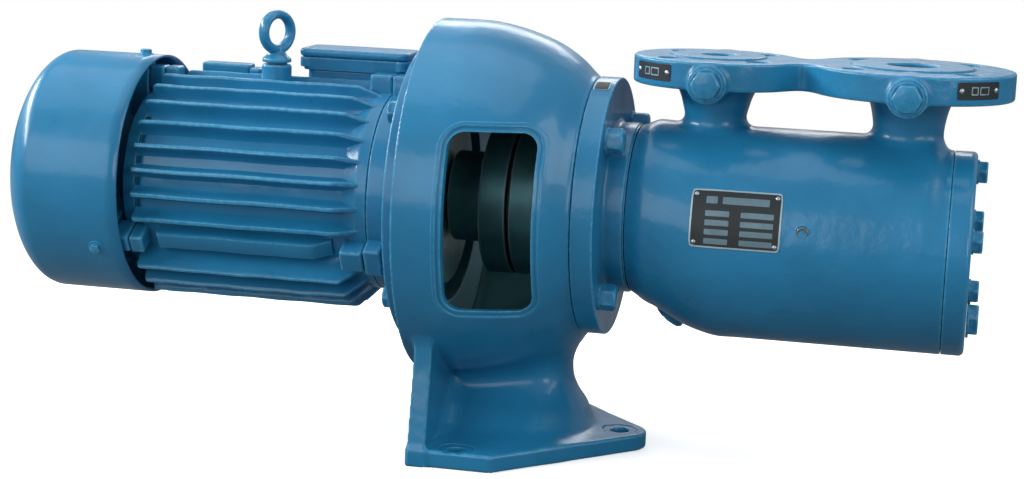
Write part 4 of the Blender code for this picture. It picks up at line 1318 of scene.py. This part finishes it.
# %% [markdown]
# The nameplate is three layers: a silver border, a black field and a few grey boxes, with a rivet
# in each corner. It could be one plate with a pattern in its shader. As real layers the boxes catch
# the light at their edges, and they stay crisp at any distance. Its boxes are empty and stand for
# no words.

# %% The nameplate
plate_x, plate_z = span("nameplate", 0), span("nameplate", 2)
PLATE_MIDDLE, PLATE_LONG = (plate_x[0] + plate_x[1]) / 2, plate_x[1] - plate_x[0]
low_turn, high_turn = (np.arcsin((z - BARREL_Z) / BARREL_R) for z in plate_z)
PLATE_UP, PLATE_TALL = (low_turn + high_turn) / 2 * BARREL_R, (high_turn - low_turn) * BARREL_R
border = curved_plate(PLATE_LONG, PLATE_TALL, -0.4, 0.55, 3.0)
border = rolled_on_barrel(border, PLATE_MIDDLE, PLATE_UP)
add("nameplate_border", border, silver, ("nameplate",))
field_plate = curved_plate(PLATE_LONG - 2.6, PLATE_TALL - 2.6, 0.3, 0.75, 2.0)
add("nameplate_field", rolled_on_barrel(field_plate, PLATE_MIDDLE, PLATE_UP), black_plate)
BOX_ROWS, BOX_PITCH, BOX_TALL, HEADING_TALL = 4, 7.2, 4.4, 5.6
BOX_COLUMNS, HEADING = ((-24.0, 19.0), (4.0, 26.0)), ((-24.0, 9.0), (-11.0, 37.0))
boxes = []


def add_box(start, width, up, tall):
    """One grey box, given by its left end and its width on the plate."""
    box = curved_plate(width, tall, 0.6, 0.84, 0.3, (8, 4))
    boxes.append(rolled_on_barrel(box, PLATE_MIDDLE + start + width / 2, up))


for row in range(BOX_ROWS):
    for start, width in BOX_COLUMNS:
        add_box(start, width, PLATE_UP + 4.0 - BOX_PITCH * row, BOX_TALL)
for start, width in HEADING:
    add_box(start, width, PLATE_UP + PLATE_TALL / 2 - 8.5, HEADING_TALL)
add("nameplate_boxes", together(*boxes), dull_silver)


def on_barrel(x, up, lift):
    """A point on the barrel's near side and its outward direction."""
    turn = up / BARREL_R
    out = np.array([0.0, -np.cos(turn), np.sin(turn)])
    reach = casting_radius(np.array([x]), np.array([turn]))[0] + lift
    return np.array([x, 0.0, BARREL_Z]) + out * reach, out


RIVET_INSET = 4.0
rivets = []
for sx in (-1, 1):
    for sz in (-1, 1):
        along = PLATE_MIDDLE + sx * (PLATE_LONG / 2 - RIVET_INSET)
        place, out = on_barrel(along, PLATE_UP + sz * (PLATE_TALL / 2 - RIVET_INSET), 0.65)
        rivets.append(aimed(dome(1.9, 1.0), place, out))
add("nameplate_rivets", together(*rivets), steel)

# %% [markdown]
# A small plate sits on the rim of each port, and one on the flange of the front cover. Those on the
# ports have two framed boxes and a rivet at either end. The one on the flange is a bright border
# round a dark field. They could be one image each, but then their edges would be flat. A frame is a
# bright box with a dark one on top of it, which is less work than a box with a hole.

# %% The label plates on the rims
LABEL_LONG, LABEL_TALL, LABEL_Z = 41.0, 13.4, 119.2
LABEL_AT = {"discharge": 227.0, "suction": 311.5}
MARK_BOXES, MARK_TALL, MARK_LINE = ((-8.6, 6.4), (-0.6, 9.2)), 6.4, 0.9
for name, angle in LABEL_AT.items():
    port = PORTS[name]
    base_plate = curved_plate(LABEL_LONG, LABEL_TALL, -0.4, 0.5, 1.5)
    rim = rolled_on_disc(base_plate, port.x, port.radius, angle, LABEL_Z)
    add(f"label_{name}_border", rim, black_plate, (f"port_label_{name}",))
    marks = []
    for start, width in MARK_BOXES:
        turn = angle + np.degrees((start + width / 2) / port.radius)
        mark = curved_plate(width, MARK_TALL, 0.4, 0.62, 0.3, (8, 4))
        marks.append(rolled_on_disc(mark, port.x, port.radius, turn, LABEL_Z))
        hollow = curved_plate(width - 2 * MARK_LINE, MARK_TALL - 2 * MARK_LINE, 0.5, 0.7, 0.2, (8, 4))
        hollow = rolled_on_disc(hollow, port.x, port.radius, turn, LABEL_Z)
        add(f"label_{name}_hollow_{len(marks)}", hollow, black_plate)
    add(f"label_{name}_marks", together(*marks), silver)
    dots = []
    for side in (-1, 1):
        turn = np.radians(angle) + side * (LABEL_LONG / 2 - 3.4) / port.radius
        out = np.array([np.cos(turn), np.sin(turn), 0.0])
        dots.append(aimed(dome(2.2, 1.1), np.array([port.x, 0, LABEL_Z]) + out * (port.radius + 0.45), out))
    add(f"label_{name}_rivets", together(*dots), steel)
RIM_LABEL_X, RIM_LABEL_UP = 143.5, 137.9
rim_label = curved_plate(13.0, 17.0, -0.3, 0.4, 1.2)
add("flange_label", rolled_on_flange(rim_label, RIM_LABEL_X, RIM_LABEL_UP), silver)
rim_field = curved_plate(11.0, 15.0, 0.3, 0.55, 0.8)
add("flange_label_field", rolled_on_flange(rim_field, RIM_LABEL_X, RIM_LABEL_UP), black_plate)

# %% [markdown]
# Inside the window sits the coupling: two heavy discs with a thin rubber element between them. They
# turn with the shaft, so they ride on the other body. Fine rings from turning show in their oiled
# iron. Plain cylinders would pass in the shade, but the window lets light in from the side, and it
# picks out every rounded rim.

# %% The coupling
COUPLING_R = span("coupling_motor_half", 2)[1]
DISC_X, ELEMENT_X = 50.0, span("coupling_motor_half", 0)[1]
HUB_R = 38.0
motor_half = [(18.2, 14.3), (18.2, HUB_R), (DISC_X, HUB_R), (DISC_X, COUPLING_R), (ELEMENT_X, COUPLING_R)]
motor_half += [(ELEMENT_X, 30.0), (47.0, 30.0), (47.0, 14.3)]
pump_half = [(75.8, 30.0), (75.8, COUPLING_R), (96.0, COUPLING_R), (96.0, 36.0), (116.0, 36.0), (116.0, 12.3)]
pump_half += [(85.2, 12.3), (85.2, 30.0)]
motor_shape = turned(soften(motor_half, [0, 1.5, 3.0, 1.6, 1.0, 0, 0, 0]), 144)
pump_shape = turned(soften(pump_half, [0, 1.0, 1.6, 3.0, 1.5, 0, 0, 0]), 144)
add("coupling_motor_disc", motor_shape, iron, ("coupling_motor_half",), "rotor")
add("coupling_pump_disc", pump_shape, iron, ("coupling_pump_half",), "rotor")
PIN_CIRCLE, PIN_COUNT = 50.0, 3
pins = []
for n in range(PIN_COUNT):
    t = np.radians(20 + 360 / PIN_COUNT * n)
    pin_at = (DISC_X, PIN_CIRCLE * np.cos(t), PIN_CIRCLE * np.sin(t))
    pins.append(aimed(disc(6.2, -1.0, 2.2, 0.5), pin_at, (-1.0, 0.0, 0.0)))
add("coupling_pins", together(*pins), iron, body="rotor")

# %% [markdown]
# The camera comes from the photo. One place, one direction and one focal length were fitted to all
# its outlines together. One could also move a camera until the picture fits, but a computed one
# fits everywhere at once. Its three axes are the picture's right, the picture's up, and the way
# back from the pump.

# %% Camera
def standing(axes, place):
    """The 4 x 4 matrix of an object, from its three axes as an array's columns and its place."""
    return Matrix([[*row, at] for row, at in zip(axes.tolist(), place)] + [[0, 0, 0, 1]])


YAW, PITCH, ROLL = -0.2158, -0.1770, 0.0376
PIXELS_WIDE, FOCAL_PIXELS, SENSOR = 1024, 2103.1, 36.0
forward = np.array([np.sin(YAW) * np.cos(PITCH), np.cos(YAW) * np.cos(PITCH), np.sin(PITCH)])
level = np.cross(forward, (0, 0, 1))
level /= np.linalg.norm(level)
upward = np.cross(level, forward)
right = np.cos(ROLL) * level + np.sin(ROLL) * upward
up = np.cos(ROLL) * upward - np.sin(ROLL) * level
camera_data = bpy.data.cameras.new("photo_camera")
camera_data.sensor_width = SENSOR
camera_data.lens = FOCAL_PIXELS / PIXELS_WIDE * SENSOR
camera_data.clip_end = 50.0
camera = bpy.data.objects.new("photo_camera", camera_data)
place = metres([440.9, -1708.5, 277.9])
camera.matrix_world = standing(np.stack([right, up, -forward], -1), place.tolist())
bpy.context.scene.collection.objects.link(camera)
bpy.context.scene.camera = camera
print("lens", round(camera_data.lens, 2), "mm")

# %% [markdown]
# The studio is a pale floor that runs into a white background. A bent backdrop could do that too,
# with a shadow in its fold. This floor is flat and turns pure white a little way off, but only for
# the camera. What the paint sees is a duller floor and a cool grey room, so that the light on it
# comes from the lamps.

# %% Floor and background
FLOOR_GLOW, FLOOR_UNSEEN, FADE_FROM, FADE_TO = 0.55, 0.20, 0.6, 1.3
ROOM_COLOUR, ROOM_LIGHT = (0.80, 0.87, 0.95), 0.46


def stage_floor():
    """Seen by the camera it is white, glows a little and fades to pure white. Other rays meet a dull grey."""
    mesh = bpy.data.meshes.new("floor")
    mesh.from_pydata([(-20, -20, 0), (20, -20, 0), (20, 20, 0), (-20, 20, 0)], [], [(0, 1, 2, 3)])
    floor = bpy.data.objects.new("floor", mesh)
    bpy.context.scene.collection.objects.link(floor)
    material, main = shader("floor_white", (0.86, 0.86, 0.86), 0.9)
    nodes, links = material.node_tree.nodes, material.node_tree.links
    path, place = nodes.new("ShaderNodeLightPath"), nodes.new("ShaderNodeTexCoord")
    glow, white = nodes.new("ShaderNodeEmission"), nodes.new("ShaderNodeEmission")
    mix, near_far = nodes.new("ShaderNodeMixShader"), nodes.new("ShaderNodeMixShader")
    both, distance = nodes.new("ShaderNodeAddShader"), nodes.new("ShaderNodeVectorMath")
    distance.operation = "LENGTH"
    glow.inputs["Color"].default_value = (1, 1, 1, 1)
    glow.inputs["Strength"].default_value = FLOOR_GLOW
    links.new(main.outputs["BSDF"], both.inputs[0])
    links.new(glow.outputs["Emission"], both.inputs[1])
    links.new(place.outputs["Object"], distance.inputs[0])
    links.new(remap(material, distance.outputs["Value"], FADE_FROM, FADE_TO), near_far.inputs["Fac"])
    links.new(both.outputs["Shader"], near_far.inputs[1])
    links.new(white.outputs["Emission"], near_far.inputs[2])
    dim = nodes.new("ShaderNodeBsdfDiffuse")
    dim.inputs["Color"].default_value = (FLOOR_UNSEEN, FLOOR_UNSEEN, FLOOR_UNSEEN, 1)
    links.new(path.outputs["Is Camera Ray"], mix.inputs["Fac"])
    links.new(dim.outputs["BSDF"], mix.inputs[1])
    links.new(near_far.outputs["Shader"], mix.inputs[2])
    links.new(mix.outputs["Shader"], nodes["Material Output"].inputs["Surface"])
    mesh.materials.append(material)


def background():
    """The camera sees white, and everything else is lit by a cool grey room."""
    world = bpy.data.worlds.new("white_room")
    world.use_nodes = True
    bpy.context.scene.world = world
    nodes, links = world.node_tree.nodes, world.node_tree.links
    path = nodes.new("ShaderNodeLightPath")
    mix = nodes.new("ShaderNodeMixShader")
    seen = nodes.new("ShaderNodeBackground")
    lit = nodes["Background"]
    seen.inputs["Color"].default_value = (1, 1, 1, 1)
    seen.inputs["Strength"].default_value = 1.0
    lit.inputs["Color"].default_value = (*ROOM_COLOUR, 1)
    lit.inputs["Strength"].default_value = ROOM_LIGHT
    links.new(path.outputs["Is Camera Ray"], mix.inputs["Fac"])
    links.new(lit.outputs["Background"], mix.inputs[1])
    links.new(seen.outputs["Background"], mix.inputs[2])
    links.new(mix.outputs["Shader"], nodes["World Output"].inputs["Surface"])


stage_floor()
background()
print("the floor turns white from", FADE_FROM, "to", FADE_TO, "m away")

# %% [markdown]
# On gloss paint one sees the shape of the lamps. The place of one follows from a highlight on the
# paint: from the camera to that spot, and on along the mirrored direction. A sun or a point lamp
# would be simpler, but would leave small hard glints. The long narrow lamp at the left makes the
# streak on the fan cover, a small square one looks into the window, and the others are broad.

# %% Lamps
def softbox(name, place, target, width, height, watts):
    """A rectangular lamp at a place, facing a target. Its width runs level."""
    lamp = bpy.data.lights.new(name, "AREA")
    lamp.shape = "RECTANGLE"
    lamp.size, lamp.size_y = width, height
    lamp.energy = watts
    holder = bpy.data.objects.new(name, lamp)
    back = np.asarray(place, float) - target
    back /= np.linalg.norm(back)
    side = np.cross((0.0, 0.0, 1.0) if abs(back[2]) < 0.95 else (0.0, 1.0, 0.0), back)
    side /= np.linalg.norm(side)
    holder.matrix_world = standing(np.stack([side, np.cross(back, side), back], -1), place)
    bpy.context.scene.collection.objects.link(holder)


# Each lamp: its place, what it faces, its width and height in metres, and its watts.
LAMPS = {
    "lamp_top": ((-0.3, 0.1, 2.2), (-0.05, 0.0, 0.2), 2.4, 2.0, 17.0),
    "lamp_left": ((-2.0, -0.2, 1.15), (-0.43, 0.0, 0.25), 2.6, 0.30, 56.0),
    "lamp_right": ((1.85, -0.4, 1.25), (0.1, 0.0, 0.2), 1.0, 1.4, 12.0),
    "lamp_window": ((1.57, -1.58, 0.64), (0.0, -0.09, 0.2), 0.7, 0.7, 6.0),
    "lamp_front": ((-0.9, -2.5, 1.0), (0.0, 0.0, 0.22), 2.0, 1.4, 17.0),
    "lamp_back": ((-0.38, 1.96, 1.23), (0.04, 0.0, 0.35), 1.6, 0.5, 10.0),
}
for name, values in LAMPS.items():
    softbox(name, *values)
bpy.context.scene.view_settings.view_transform = "Standard"
print(len(LAMPS), "lamps")
